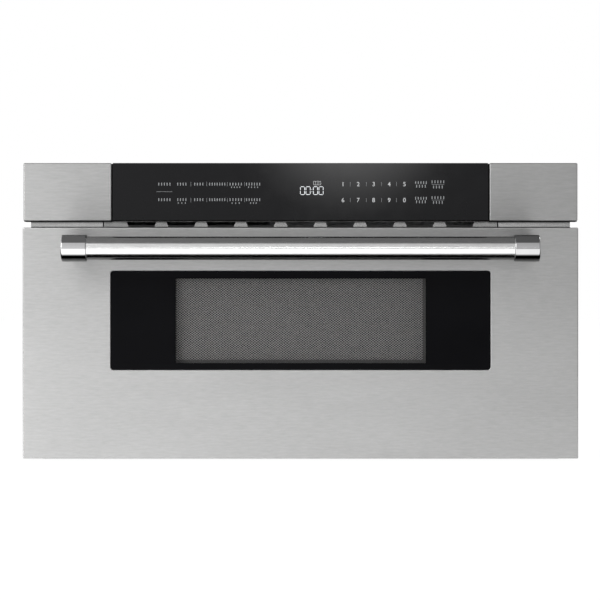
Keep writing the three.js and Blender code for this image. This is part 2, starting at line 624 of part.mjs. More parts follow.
function stirrerAndWaveguide() {
  const y = CAVITY_MIDDLE_Y;
  const housingBottom = CAVITY_ROOF + SEAT_GAP;
  piece('stirrer_housing', enamel, cut(
    rodZ(2 * STIRRER_HOUSING_RADIUS, 0, y, [housingBottom, HOUSING_ROOF]),
    rodZ(2 * (STIRRER_HOUSING_RADIUS - CAVITY_SHEET), 0, y,
      [housingBottom - PAST, HOUSING_ROOF - CAVITY_SHEET]),
    rodZ(FEED_HOLE_DIAMETER, 0, y, [housingBottom, HOUSING_ROOF + PAST]),
  ));

  const bladeZ = from(housingBottom + STIRRER_TIP_GAP, STIRRER_SHEET);
  const hubZ = [bladeZ[0], HOUSING_ROOF - CAVITY_SHEET - STIRRER_TIP_GAP];
  const blades = [];
  for (let i = 0; i < STIRRER_ARMS; i += 1) {
    const arm = block([0, STIRRER_RADIUS], about(0, STIRRER_ARM_WIDTH), bladeZ);
    const tip = block([STIRRER_RADIUS - STIRRER_SHEET, STIRRER_RADIUS], about(0, STIRRER_ARM_WIDTH), hubZ);
    blades.push(...[arm, tip].map((part) => part.rotateZ(i * 2 * Math.PI / STIRRER_ARMS).translate(0, y, 0)));
  }
  const boreFloor = bladeZ[1] + STIRRER_SHEET;
  piece('stirrer', aluminium, cut(
    join(rodZ(STIRRER_HUB_DIAMETER, 0, y, hubZ, SHAFT_SEGMENTS), ...blades),
    rodZ(STIRRER_SHAFT_DIAMETER + 2 * RUN_GAP, 0, y, [boreFloor, hubZ[1] + PAST], PIN_SEGMENTS),
  ));
  const motorBottom = WAVEGUIDE_TOP + SEAT_GAP;
  piece('stirrer_motor', zinc, join(
    rodZ(STIRRER_MOTOR_DIAMETER, 0, y, from(motorBottom, STIRRER_MOTOR_HEIGHT), MOTOR_SEGMENTS),
    rodZ(STIRRER_SHAFT_DIAMETER, 0, y, [boreFloor + RUN_GAP, motorBottom + PAST], PIN_SEGMENTS),
  ));

  const duct = [-WAVEGUIDE_WIDTH / 2, MAGNETRON_X + MAGNETRON_SIZE[0] / 2];
  const wall = WAVEGUIDE_WALL;
  const lowerWall = [WAVEGUIDE_BOTTOM - PAST, WAVEGUIDE_BOTTOM + wall + PAST];
  const upperWall = [WAVEGUIDE_TOP - wall - PAST, WAVEGUIDE_TOP + PAST];
  piece('waveguide', aluminium, cut(
    block(duct, about(y, WAVEGUIDE_WIDTH), [WAVEGUIDE_BOTTOM, WAVEGUIDE_TOP]),
    block([duct[0] + wall, duct[1] - wall], about(y, WAVEGUIDE_WIDTH - 2 * wall),
      [WAVEGUIDE_BOTTOM + wall, WAVEGUIDE_TOP - wall]),
    rodZ(FEED_HOLE_DIAMETER, 0, y, lowerWall),
    rodZ(2 * STIRRER_SHAFT_DIAMETER, 0, y, upperWall, SHAFT_SEGMENTS),
    rodZ(ANTENNA_DIAMETER + 2 * wall, MAGNETRON_X, y, lowerWall, SHAFT_SEGMENTS),
  ));
}

function magnetron() {
  const [width, depth, height] = MAGNETRON_SIZE;
  const top = WAVEGUIDE_BOTTOM - SEAT_GAP;
  const x = about(MAGNETRON_X, width);
  const y = about(CAVITY_MIDDLE_Y, depth);
  const z = [top - height, top];
  const wall = MAGNETRON_YOKE;
  const yoke = cut(block(x, y, z),
    block([x[0] + wall, x[1] - wall], [y[0] - PAST, y[1] + PAST], [z[0] + wall, z[1] - wall]));
  const fins = [];
  for (let i = 1; i <= FIN_COUNT; i += 1) {
    const finZ = z[0] + i * height / (FIN_COUNT + 1);
    fins.push(block([x[0] + wall / 2, x[1] - wall / 2], [y[0] + wall, y[1] - wall],
      about(finZ, MAGNETRON_FIN)));
  }
  piece('magnetron', zinc, join(
    yoke,
    ...fins,
    rodZ(MAGNETRON_ANODE_DIAMETER, MAGNETRON_X, CAVITY_MIDDLE_Y, [z[0] + wall / 2, z[1] - wall / 2],
      SHAFT_SEGMENTS),
    rodZ(ANTENNA_DIAMETER, MAGNETRON_X, CAVITY_MIDDLE_Y, [z[1] - PAST, WAVEGUIDE_BOTTOM + ANTENNA_LENGTH],
      SHAFT_SEGMENTS),
    block(about(MAGNETRON_X, width - 2 * wall), about(CAVITY_MIDDLE_Y, depth - 2 * wall),
      [z[0] - MAGNETRON_FILTER_HEIGHT, z[0] + PAST]),
  ));
}

// ---------------------------------------------------------------- cooling fan

function coolingFan() {
  const inner = FAN_RADIUS + FAN_TIP_GAP;
  const ringY = from(FAN_Y, FAN_DEPTH + 2 * FAN_TIP_GAP);
  const spiderY = [ringY[1] - CHASSIS_SHEET, ringY[1] + CHASSIS_SHEET];
  const motorY = from(spiderY[1] + SEAT_GAP, FAN_MOTOR_LENGTH);
  const plateX = [CAVITY_OUTER_HALF + SEAT_GAP, SLIDE_INNER_X - SLIDE_SLOT_CLEARANCE];
  const plate = block(plateX, from(FAN_Y, CHASSIS_SHEET), about(FAN_HEIGHT, 2 * inner + FAN_PLATE_MARGIN));
  const ring = rodY(2 * (inner + FAN_WALL), COMPARTMENT_X, ringY, FAN_HEIGHT);
  const bore = rodY(2 * inner, COMPARTMENT_X, [FAN_Y - PAST, ringY[1] + PAST], FAN_HEIGHT);
  const armX = about(0, 2 * inner + FAN_WALL);
  const arms = numbered(FAN_ARMS).map((i) => block(armX, spiderY, about(0, FAN_ARM_WIDTH))
    .rotateY(i * Math.PI / FAN_ARMS)
    .translate(COMPARTMENT_X, 0, FAN_HEIGHT));
  piece('fan_shroud', zinc, cut(
    join(cut(join(plate, ring), bore), ...arms),
    rodY(FAN_ARM_BORE, COMPARTMENT_X, [spiderY[0] - PAST, spiderY[1] + PAST], FAN_HEIGHT, SHAFT_SEGMENTS),
  ));

  const hubY = from(FAN_Y + FAN_TIP_GAP, FAN_DEPTH);
  const bladeX = [FAN_BLADE_ROOT, FAN_RADIUS - FAN_BLADE_END];
  const blades = [];
  for (let i = 0; i < FAN_BLADES; i += 1) {
    const blade = block(bladeX, about(0, FAN_BLADE_CHORD), about(0, FAN_WALL));
    blade.rotateX(FAN_BLADE_PITCH);
    blade.rotateY(i * 2 * Math.PI / FAN_BLADES);
    blades.push(blade.translate(COMPARTMENT_X, (hubY[0] + hubY[1]) / 2, FAN_HEIGHT));
  }
  const boreFloor = hubY[0] + 2 * FAN_WALL;
  piece('cooling_fan', nylon, cut(
    join(rodY(FAN_HUB_DIAMETER, COMPARTMENT_X, hubY, FAN_HEIGHT, SHAFT_SEGMENTS), ...blades),
    rodY(FAN_SHAFT_DIAMETER + 2 * RUN_GAP, COMPARTMENT_X, [boreFloor, hubY[1] + PAST], FAN_HEIGHT,
      PIN_SEGMENTS),
  ));
  piece('fan_motor', zinc, join(
    rodY(FAN_MOTOR_DIAMETER, COMPARTMENT_X, motorY, FAN_HEIGHT, MOTOR_SEGMENTS),
    rodY(FAN_SHAFT_DIAMETER, COMPARTMENT_X, [boreFloor + RUN_GAP, motorY[0] + PAST], FAN_HEIGHT,
      PIN_SEGMENTS),
  ));
}

// ---------------------------------------------------------------- electrics

function electrics() {
  const floor = CHASSIS_SHEET + SEAT_GAP;
  const [coreWidth, coreDepth, coreHeight] = TRANSFORMER_CORE_SIZE;
  const [coilWidth, coilDepth, coilHeight] = TRANSFORMER_COIL_SIZE;
  const transformerY = REAR_INNER_Y - TRANSFORMER_REAR_GAP - coilDepth / 2;
  piece('hv_transformer', iron, join(
    block(about(COMPARTMENT_X, coreWidth), about(transformerY, coreDepth), from(floor, coreHeight)),
    block(about(COMPARTMENT_X, coilWidth), about(transformerY, coilDepth),
      about(floor + coreHeight / 2, coilHeight)),
  ));

  const [canWidth, canDepth, canHeight] = CAPACITOR_SIZE;
  const can = about(CAPACITOR_X, canWidth);
  const canY = from(CAVITY_BACK_Y + CAPACITOR_CLEARANCE, canDepth);
  const canOutline = roundedOutline(can, canY, CAPACITOR_CORNER);
  piece('hv_capacitor', aluminium, join(
    prismZ(canOutline, from(floor, canHeight)),
    ...about(CAPACITOR_X, canWidth / 3).map((x) => block(about(x, TERMINAL_SIZE[0]),
      about((canY[0] + canY[1]) / 2, TERMINAL_SIZE[1]), from(floor + canHeight - PAST, TERMINAL_SIZE[2]))),
  ));

  const [boardWidth, boardDepth, boardThickness] = POWER_BOARD_SIZE;
  const boardX = about(-COMPARTMENT_X, boardWidth);
  const boardY = from(REAR_INNER_Y - POWER_BOARD_REAR_GAP - boardDepth, boardDepth);
  piece('power_board', circuitBoard, join(
    block(boardX, boardY, from(floor, boardThickness)),
    ...numbered(RELAY_COUNT).map((i) => block(about(-COMPARTMENT_X, RELAY_SIZE),
      from(boardY[0] + RELAY_SIZE / 2 + i * RELAY_PITCH, RELAY_SIZE), from(floor + PAST, RELAY_SIZE))),
  ));

  const [lampWidth, lampDepth, lampHeight] = LAMP_SIZE;
  const lampX = [-CAVITY_OUTER_HALF - SEAT_GAP - lampWidth, -CAVITY_OUTER_HALF - SEAT_GAP];
  piece('cavity_lamp', nylon, join(
    block(lampX, from(LAMP_Y, lampDepth), from(LAMP_HEIGHT, lampHeight)),
    rodX(LAMP_BASE_DIAMETER, [lampX[0] - LAMP_BASE_LENGTH, lampX[0] + PAST], LAMP_Y + lampDepth / 2,
      LAMP_HEIGHT + lampHeight / 2, SHAFT_SEGMENTS),
  ));
}

function interlock(hand, suffix) {
  const x = hand * STRIKER_X;
  const [width, depth, height] = SWITCH_SIZE;
  const headY = from(STRIKER_REACH + RUN_GAP, PLUNGER_HEAD);
  const stepY = headY[1] + PLUNGER_OVERTRAVEL + RUN_GAP;
  const stemEnd = headY[0] + PLUNGER_LENGTH;
  const mouth = STRIKER_DIAMETER + 2 * STRIKER_CLEARANCE;
  piece(`interlock_switch_${suffix}`, blackPlastic, cut(
    block(about(x, width), from(CHASSIS_FRONT_Y, depth), about(STRIKER_HEIGHT, height)),
    rodY(mouth, x, [-PAST, stepY], STRIKER_HEIGHT, SHAFT_SEGMENTS),
    rodY(PLUNGER_DIAMETER + 2 * RUN_GAP, x, [0, stemEnd + PLUNGER_OVERTRAVEL + RUN_GAP], STRIKER_HEIGHT,
      PIN_SEGMENTS),
  ));
  piece(`interlock_plunger_${suffix}`, nylon, join(
    rodY(STRIKER_DIAMETER, x, headY, STRIKER_HEIGHT, SHAFT_SEGMENTS),
    rodY(PLUNGER_DIAMETER, x, [headY[0] + PAST, stemEnd], STRIKER_HEIGHT, PIN_SEGMENTS),
  ));
}

// ---------------------------------------------------------------- drawer drive

function driveGears() {
  const pinionTop = RACK_TOP + WHEEL_MODULE;
  const wheelZ = from(WHEEL_BOTTOM, WHEEL_THICKNESS);
  const drivePinion = gearOutline(RACK_MODULE, PINION_TEETH, PINION_PRESSURE_ANGLE, Math.PI);
  const wheel = gearOutline(WHEEL_MODULE, WHEEL_TEETH, WHEEL_PRESSURE_ANGLE, 0);
  piece('drive_gear', nylon, cut(
    join(prismZ(wheel, wheelZ), prismZ(drivePinion, [wheelZ[1] - PAST, pinionTop])).translate(
      PINION_RADIUS, PINION_Y, 0),
    rodZ(DRIVE_SHAFT_DIAMETER + 2 * RUN_GAP, PINION_RADIUS, PINION_Y, [WHEEL_BOTTOM - PAST, pinionTop + PAST],
      SHAFT_SEGMENTS),
  ));

  const motorTooth = Math.PI + Math.PI / MOTOR_PINION_TEETH;
  const motorGear = gearOutline(WHEEL_MODULE, MOTOR_PINION_TEETH, WHEEL_PRESSURE_ANGLE, motorTooth);
  const motorZ = [wheelZ[0] - WHEEL_MODULE, wheelZ[1] + WHEEL_MODULE];
  piece('motor_pinion', nylon, cut(
    prismZ(motorGear, motorZ).translate(MOTOR_X, PINION_Y, 0),
    rodZ(MOTOR_SHAFT_DIAMETER + 2 * RUN_GAP, MOTOR_X, PINION_Y, [motorZ[0] - PAST, motorZ[1] + PAST],
      PIN_SEGMENTS),
  ));

  const [boxLength, boxDepth, boxHeight] = GEARBOX_SIZE;
  const box = from(PINION_RADIUS * 2 + RACK_MODULE + GEARBOX_CLEARANCE, boxLength);
  const boxY = about(PINION_Y, boxDepth);
  const boxZ = from(GEARBOX_BOTTOM, boxHeight);
  const motorMiddle = boxZ[0] + boxHeight / 2;
  piece('drive_motor', zinc, join(
    block(box, boxY, boxZ),
    rodX(DRIVE_MOTOR_DIAMETER, [box[1] - PAST, box[1] + DRIVE_MOTOR_LENGTH], PINION_Y, motorMiddle,
      MOTOR_SEGMENTS),
    rodZ(MOTOR_SHAFT_DIAMETER, MOTOR_X, PINION_Y, [motorZ[0], boxZ[0] + PAST], PIN_SEGMENTS),
  ));

  const plateZ = from(CHASSIS_SHEET + SEAT_GAP, BRACKET_SHEET);
  const post = BRACKET_MARGIN;
  const posts = [];
  for (const x of about((box[0] + box[1]) / 2, boxLength - 2 * post)) {
    for (const y of about(PINION_Y, boxDepth - post)) {
      posts.push(rodZ(post, x, y, [plateZ[0] + PAST, boxZ[0] - SEAT_GAP], PIN_SEGMENTS));
    }
  }
  piece('gear_bracket', zinc, join(
    block([PINION_RADIUS - 2 * BRACKET_MARGIN, box[1]], boxY, plateZ),
    rodZ(DRIVE_SHAFT_DIAMETER, PINION_RADIUS, PINION_Y, [plateZ[0] + PAST, pinionTop + WHEEL_MODULE],
      SHAFT_SEGMENTS),
    rodZ(2 * DRIVE_SHAFT_DIAMETER, PINION_RADIUS, PINION_Y, [plateZ[0] + PAST, WHEEL_BOTTOM - RUN_GAP],
      SHAFT_SEGMENTS),
    ...posts,
  ));
}

// The rack's teeth stand on the +X side of its body, with a gap between two teeth facing
// the axis of the drive gear.
function driveRack() {
  const pitch = Math.PI * RACK_MODULE;
  const half = pitch / 4 - TOOTH_BACKLASH / 4;
  const slope = Math.tan(THREE.MathUtils.degToRad(PINION_PRESSURE_ANGLE));
  const root = -TOOTH_ROOT_DEPTH * RACK_MODULE;
  const firstTooth = Math.ceil((CHASSIS_FRONT_Y - PINION_Y) / pitch) - 0.5;
  const lastTooth = Math.floor((RACK_END_Y - PINION_Y) / pitch) - 0.5;
  const points = [[-RACK_BACK, TRAY_FRONT_Y], [root, TRAY_FRONT_Y]];
  for (let tooth = firstTooth; tooth <= lastTooth; tooth += 1) {
    const middle = PINION_Y + tooth * pitch;
    const atRoot = half - root * slope;
    const atTip = half - RACK_MODULE * slope;
    points.push([root, middle - atRoot], [RACK_MODULE, middle - atTip]);
    points.push([RACK_MODULE, middle + atTip], [root, middle + atRoot]);
  }
  points.push([root, RACK_END_Y], [-RACK_BACK, RACK_END_Y]);
  const foot = block([-2 * RACK_BACK, RACK_BACK], from(TRAY_FRONT_Y, RACK_FOOT),
    [RACK_BOTTOM - RACK_FOOT, RACK_TOP + RACK_FOOT]);
  piece('drive_rack', nylon, join(prismZ(outline(points), [RACK_BOTTOM, RACK_TOP]), foot));
}

// Three nested channels, the outer one on the side panel and open toward the middle of the
// unit, the inner one fastened to the door.
function slideSet(hand, suffix) {
  const step = SLIDE_SHEET + RUN_GAP;
  const backY = CHASSIS_FRONT_Y + SLIDE_LENGTH;
  const channel = (level, frontY) => {
    const x = [SLIDE_INNER_X, SLIDE_OUTER_X - level * step];
    const z = about(SLIDE_MIDDLE, SLIDE_HEIGHT - 2 * level * step);
    return cut(
      block(onSide(hand, x), [frontY, backY], z),
      block(onSide(hand, [x[0] - PAST, x[1] - SLIDE_SHEET]), [frontY - PAST, backY + PAST],
        [z[0] + SLIDE_SHEET, z[1] - SLIDE_SHEET]),
    );
  };
  piece(`outer_slide_${suffix}`, zinc, channel(0, CHASSIS_FRONT_Y));
  piece(`middle_slide_${suffix}`, zinc, channel(1, CHASSIS_FRONT_Y));
  piece(`inner_slide_${suffix}`, zinc, channel(2, TRAY_FRONT_Y));
}

// ---------------------------------------------------------------- drawer

function drawerFront() {
  const half = FRONT_WIDTH / 2;
  const y = [FRONT_FACE_Y, SKIN_BACK_Y];
  const z = [FRONT_LIFT, FRONT_TOP];
  const sheet = FRONT_SHEET;
  const inset = (by, depth) => block([by - half, half - by], depth, [z[0] + by, z[1] - by]);
  const glassX = about(0, GLASS_WIDTH);
  const glassZ = from(GLASS_BOTTOM, GLASS_HEIGHT);
  const opening = roundedOutline(about(0, GLASS_WIDTH + 2 * SHEET_EDGE_GAP),
    [glassZ[0] - SHEET_EDGE_GAP, glassZ[1] + SHEET_EDGE_GAP], GLASS_CORNER + SHEET_EDGE_GAP);
  piece('drawer_front_panel', stainless, cut(
    inset(0, y),
    inset(sheet, [y[0] + sheet, y[1] - sheet]),
    inset(FRONT_LIP, [y[1] - 2 * sheet, y[1] + PAST]),
    prismY(opening, [y[0] - PAST, y[0] + 2 * sheet]),
  ));
  piece('window_glass', blackGlass,
    prismY(roundedOutline(glassX, glassZ, GLASS_CORNER), from(y[0] + GLASS_SET_BACK, GLASS_THICKNESS)));

  const screenZ = from(SCREEN_BOTTOM, SCREEN_HEIGHT);
  piece('drawer_screen', enamel, block(
    about(0, SCREEN_WIDTH + 2 * SCREEN_OVERLAP),
    [DOOR_FRONT_Y - SEAT_GAP - SCREEN_THICKNESS, DOOR_FRONT_Y - SEAT_GAP],
    [screenZ[0] - SCREEN_OVERLAP, screenZ[1] + SCREEN_OVERLAP],
  ));
  const strikers = [-1, 1].map((hand) => rodY(STRIKER_DIAMETER, hand * STRIKER_X,
    [DOOR_BACK_Y - PAST, STRIKER_REACH], STRIKER_HEIGHT, SHAFT_SEGMENTS));
  const panel = block([DOOR_SIDE_INSET - half, half - DOOR_SIDE_INSET], [DOOR_FRONT_Y, DOOR_BACK_Y],
    [z[0] + DOOR_END_INSET, z[1] - DOOR_END_INSET]);
  const view = block(about(0, SCREEN_WIDTH), [DOOR_FRONT_Y - PAST, DOOR_BACK_Y + PAST], screenZ);
  piece('inner_door_panel', stainless, join(cut(panel, view), ...strikers));

  const chokeY = [TRAY_FRONT_Y, FRAME_FRONT_Y - CHOKE_AIR];
  const ring = (by, depth) => block([-CAVITY_HALF - by, CAVITY_HALF + by], depth,
    [CAVITY_FLOOR_HEIGHT - by, CAVITY_TOP + by]);
  piece('choke_cover', blackPlastic, cut(
    ring(CHOKE_WIDTH, chokeY),
    ring(-CHOKE_LAP, [chokeY[0] - PAST, chokeY[1] + PAST]),
  ));
}

function drawerTray() {
  const depth = [TRAY_FRONT_Y, TRAY_BACK_Y + TRAY_WALL];
  const wallZ = [TRAY_BOTTOM + TRAY_WALL + SEAT_GAP, TRAY_RIM];
  piece('tray_floor', enamel,
    block([-TRAY_OUTER_HALF, TRAY_OUTER_HALF], depth, from(TRAY_BOTTOM, TRAY_WALL)));
  piece('tray_left_wall', enamel, block([-TRAY_OUTER_HALF, -TRAY_INNER_HALF], depth, wallZ));
  piece('tray_right_wall', enamel, block([TRAY_INNER_HALF, TRAY_OUTER_HALF], depth, wallZ));
  piece('tray_back_wall', enamel,
    block([SEAT_GAP - TRAY_INNER_HALF, TRAY_INNER_HALF - SEAT_GAP], from(TRAY_BACK_Y, TRAY_WALL), wallZ));
  piece('ceramic_base_plate', ceramic, block(
    [SHEET_EDGE_GAP - TRAY_INNER_HALF, TRAY_INNER_HALF - SHEET_EDGE_GAP],
    [TRAY_FRONT_Y, TRAY_BACK_Y - SHEET_EDGE_GAP],
    [CERAMIC_BOTTOM, CERAMIC_TOP],
  ));
}

function handle() {
  const radius = CAP_DIAMETER / 2;
  const barEnd = CAP_INNER + CAP_SOCKET;
  piece('handle_bar', stainless, rodX(BAR_DIAMETER, [-barEnd, barEnd], BAR_Y, BAR_Z));
  for (const [name, hand] of [['handle_post_left', -1], ['handle_post_right', 1]]) {
    const cap = new THREE.LatheGeometry([
      new THREE.Vector2(0, 0),
      new THREE.Vector2(radius - CAP_MOUTH_CHAMFER, 0),
      new THREE.Vector2(radius, CAP_MOUTH_CHAMFER),
      new THREE.Vector2(radius, CAP_LENGTH - CAP_CHAMFER),
      new THREE.Vector2(radius - CAP_CHAMFER, CAP_LENGTH),
      new THREE.Vector2(0, CAP_LENGTH),
    ], BAR_SEGMENTS);
    cap.rotateZ(-hand * Math.PI / 2).translate(hand * CAP_INNER, BAR_Y, BAR_Z);
    const footY = [FRONT_FACE_Y - SEAT_GAP - FOOT_THICKNESS, FRONT_FACE_Y - SEAT_GAP];
    const socket = onSide(hand, [CAP_INNER - PAST, barEnd + SEAT_GAP]);
    piece(name, chrome, cut(
      join(
        cap,
        rodY(POST_DIAMETER, hand * POST_X, [BAR_Y, footY[1] - PAST], BAR_Z, MOTOR_SEGMENTS),
        rodY(FOOT_DIAMETER, hand * POST_X, footY, BAR_Z),
      ),
      rodX(BAR_DIAMETER + 2 * SEAT_GAP, socket, BAR_Y, BAR_Z),
    ));
  }
}

// ---------------------------------------------------------------- assembly

chassisCase();
cordGland();
frontFrame();
ventGrille();
controlRow();
ovenCavity();
stirrerAndWaveguide();
magnetron();
coolingFan();
electrics();
driveGears();
driveRack();
drawerFront();
drawerTray();
handle();
for (const [hand, suffix] of [[-1, 'left'], [1, 'right']]) {
  slideSet(hand, suffix);
  interlock(hand, suffix);
}
unit.position.y = -(HANDLE_FRONT_Y + CHASSIS_DEPTH) / 2;

export default unit;
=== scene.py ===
"""Looks of a built-in microwave drawer: its folded steel skins, its glass, its handle, its
perforated screen, its tray and the finish of every part, round a frame of fixed parts."""

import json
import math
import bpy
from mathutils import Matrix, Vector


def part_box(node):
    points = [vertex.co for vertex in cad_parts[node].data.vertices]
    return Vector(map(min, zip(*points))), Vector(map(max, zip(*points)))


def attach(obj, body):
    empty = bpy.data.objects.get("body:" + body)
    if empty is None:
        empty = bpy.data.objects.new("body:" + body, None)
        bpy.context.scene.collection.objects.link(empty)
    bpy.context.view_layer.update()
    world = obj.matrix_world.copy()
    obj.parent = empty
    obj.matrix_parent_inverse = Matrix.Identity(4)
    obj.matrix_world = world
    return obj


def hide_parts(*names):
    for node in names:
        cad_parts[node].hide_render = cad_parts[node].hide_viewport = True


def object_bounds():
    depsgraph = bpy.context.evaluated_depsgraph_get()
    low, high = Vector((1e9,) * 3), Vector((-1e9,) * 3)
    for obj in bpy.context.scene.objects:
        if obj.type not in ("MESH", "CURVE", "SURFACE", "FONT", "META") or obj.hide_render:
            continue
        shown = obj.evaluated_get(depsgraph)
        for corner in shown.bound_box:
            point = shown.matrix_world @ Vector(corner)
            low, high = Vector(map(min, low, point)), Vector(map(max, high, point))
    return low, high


bl_info = {
    "name": "Microwave Drawer Looks",
    "version": (1, 0, 0),
    "blender": (4, 5, 0),
    "location": "View3D > Sidebar > Drawer",
    "description": "Builds the visible surfaces and finishes of a built-in microwave drawer",
    "category": "Object",
}

import bmesh
import bpy
import numpy as np
from bpy.props import FloatProperty, FloatVectorProperty, IntProperty, PointerProperty
from bpy.types import Operator, Panel, PropertyGroup
from mathutils import Vector

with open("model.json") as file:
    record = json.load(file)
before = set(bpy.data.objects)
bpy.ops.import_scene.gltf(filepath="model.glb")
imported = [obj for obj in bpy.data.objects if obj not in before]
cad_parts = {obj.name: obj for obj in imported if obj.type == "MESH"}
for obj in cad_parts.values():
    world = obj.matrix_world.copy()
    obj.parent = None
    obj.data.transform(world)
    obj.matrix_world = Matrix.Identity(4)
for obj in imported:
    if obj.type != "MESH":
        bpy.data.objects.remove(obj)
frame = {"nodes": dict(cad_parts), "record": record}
CAD_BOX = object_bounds()

MM = 0.001

# The photograph: a pixel's size at the drawer front's face, the picture's width in pixels,
# the column of the drawer's middle and the row of its lower edge.
PIXEL = 1.3694 * MM
PHOTO_WIDTH = 600
PHOTO_MIDDLE_X = 300.5
PHOTO_FRONT_BOTTOM = 458.6

FRONT_LOW, FRONT_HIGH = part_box("drawer_front_panel")
GLASS_LOW, GLASS_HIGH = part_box("window_glass")
SCREEN_LOW, SCREEN_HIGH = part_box("drawer_screen")
ROW_LOW, ROW_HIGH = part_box("control_glass")
BAR_LOW, BAR_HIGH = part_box("handle_bar")


def photo_x(pixel):
    """Metres right of the middle for a column of the photograph."""
    return (pixel - PHOTO_MIDDLE_X) * PIXEL


def photo_z(pixel):
    """Metres above the floor for a row of the photograph."""
    return (PHOTO_FRONT_BOTTOM - pixel) * PIXEL + FRONT_LOW.z


def seen_ahead(box):
    """Half width, half height and middle of a box, as it is seen from the front."""
    half, middle = (box[1] - box[0]) / 2, (box[1] + box[0]) / 2
    return half.x, half.z, (middle.x, middle.z)


# ---------------------------------------------------------------- surfaces

SMALLEST_RADIUS = 0.05 * MM
MERGE_DISTANCE = 0.002 * MM
BLOCK_CORNER = 0.3  # corner radius of a block, as a share of its smaller half
BAR_CORNER = 0.6  # the same for a bar


def arc(centre, radius, start, end, steps=5):
    """Points centre + radius * (cos a, sin a), with a in degrees from start to end."""
    a = np.radians(np.linspace(start, end, steps + 1))
    return np.stack([centre[0] + radius * np.cos(a), centre[1] + radius * np.sin(a)], 1)


def rounded_rings(half_x, half_z, corner, depth, centre, steps=6):
    """Rounded rectangles across Y, one for each entry: an arc's centre is the corner drawn in
    by its radius r, and its points are that centre + r * (cos a, sin a)."""
    sizes = np.broadcast_arrays(*map(np.atleast_1d, (half_x, half_z, corner, depth)))
    half_x, half_z, corner, depth = (values[:, None] for values in sizes)
    turn = np.linspace(0, np.pi / 2, steps + 1)
    angle = np.concatenate([turn + k * np.pi / 2 for k in range(4)])
    side_x = np.repeat([1.0, -1.0, -1.0, 1.0], steps + 1)
    side_z = np.repeat([1.0, 1.0, -1.0, -1.0], steps + 1)
    x = centre[0] + side_x * (half_x - corner) + corner * np.cos(angle)
    z = centre[1] + side_z * (half_z - corner) + corner * np.sin(angle)
    return np.stack([x, np.broadcast_to(depth, x.shape), z], 2)


def carried(profile, half_x, half_z, corner, centre, steps=6):
    """A profile of (inset, depth) carried round a rounded rectangle: at each point of the
    profile the rectangle and its corner radius shrink by the inset."""
    inset, depth = np.asarray(profile, float).T
    radius = np.clip(corner - inset, SMALLEST_RADIUS, None)
    return rounded_rings(half_x - inset, half_z - inset, radius, depth, centre, steps)


def revolved(profile, axis, centre, segments):
    """A profile of (place along the axis, radius) turned round it: across the axis each point
    is radius * (cos t, sin t)."""
    along, radius = np.asarray(profile, float).T
    t = np.linspace(0, 2 * np.pi, segments, endpoint=False)
    u = radius[:, None] * np.cos(t)
    v = radius[:, None] * np.sin(t)
    w = np.broadcast_to(along[:, None], u.shape)
    order = {"X": (w, u, v), "Y": (v, w, u), "Z": (u, v, w)}[axis]
    return np.stack(order, 2) + np.asarray(centre, float)


def woven(rings, loop=False, caps=(False, False)):
    """Vertices and faces of a grid of rings: quads between neighbours round each ring and from
    ring to ring, back to the first ring if it is a loop, and flat caps where they are asked."""
    count, points = rings.shape[:2]
    index = np.arange(count * points).reshape(count, points)
    following = np.roll(index, -1, 1)
    quads = np.stack([index[:-1], following[:-1], following[1:], index[1:]], 2).reshape(-1, 4)
    if loop:
        seam = np.stack([index[-1], following[-1], following[0], index[0]], 1)
        quads = np.concatenate([quads, seam])
    faces = quads.tolist()
    faces += [index[end].tolist() for end, wanted in zip((0, -1), caps) if wanted]
    return rings.reshape(-1, 3), faces


def plate(half_x, half_z, corner, front, back, centre, edge=0.0):
    """A flat plate with rounded corners from front to back along Y, with its front edge
    rounded off by a quarter circle of the edge's radius."""
    rounded = arc((edge, front + edge), edge, 180, 270, 4) if edge else [(0.0, front)]
    profile = [(0.0, back), *rounded]
    return woven(carried(profile, half_x, half_z, corner, centre), caps=(True, True))


def block(low, high):
    """A thin plain bar between two corners: two equal rounded rectangles across Y. Its faces
    point inward."""
    half = (Vector(high) - Vector(low)) / 2
    middle = (Vector(high) + Vector(low)) / 2
    corner = min(half.x, half.z) * BLOCK_CORNER
    rings = rounded_rings(half.x, half.z, corner, [low[1], high[1]], (middle.x, middle.z), 2)
    return woven(rings, caps=(True, True))


def bar(x, y, z, edge=0.2 * MM):
    """A straight bar with rounded long edges, between two values on each axis: a rounded
    rectangle across Y, drawn in a little at both ends."""
    half_x, half_z = (x[1] - x[0]) / 2, (z[1] - z[0]) / 2
    corner = min(half_x, half_z) * BAR_CORNER
    profile = [(edge, y[0]), (0.0, y[0] + edge), (0.0, y[1] - edge), (edge, y[1])]
    rings = carried(profile, half_x, half_z, corner, (sum(x) / 2, sum(z) / 2), 3)
    return woven(rings, caps=(True, True))


def plate_ring(half_x, half_z, width, corner, centre, front, back):
    """A flat frame of one width, from front to back along Y: its section, a rectangle, is
    carried round a rounded rectangle."""
    section = [(0.0, front), (0.0, back), (width, back), (width, front)]
    return woven(carried(section, half_x, half_z, corner, centre), loop=True)


def plan_plate(half_x, front, back, low, high):
    """A level plate with rounded corners in plan: a plate across Y, with Y and Z changed."""
    middle = (0.0, (back + front) / 2)
    rings = rounded_rings(half_x, (back - front) / 2, PAN_CORNER, [low, high], middle)
    return woven(rings[:, :, [0, 2, 1]], caps=(True, True))


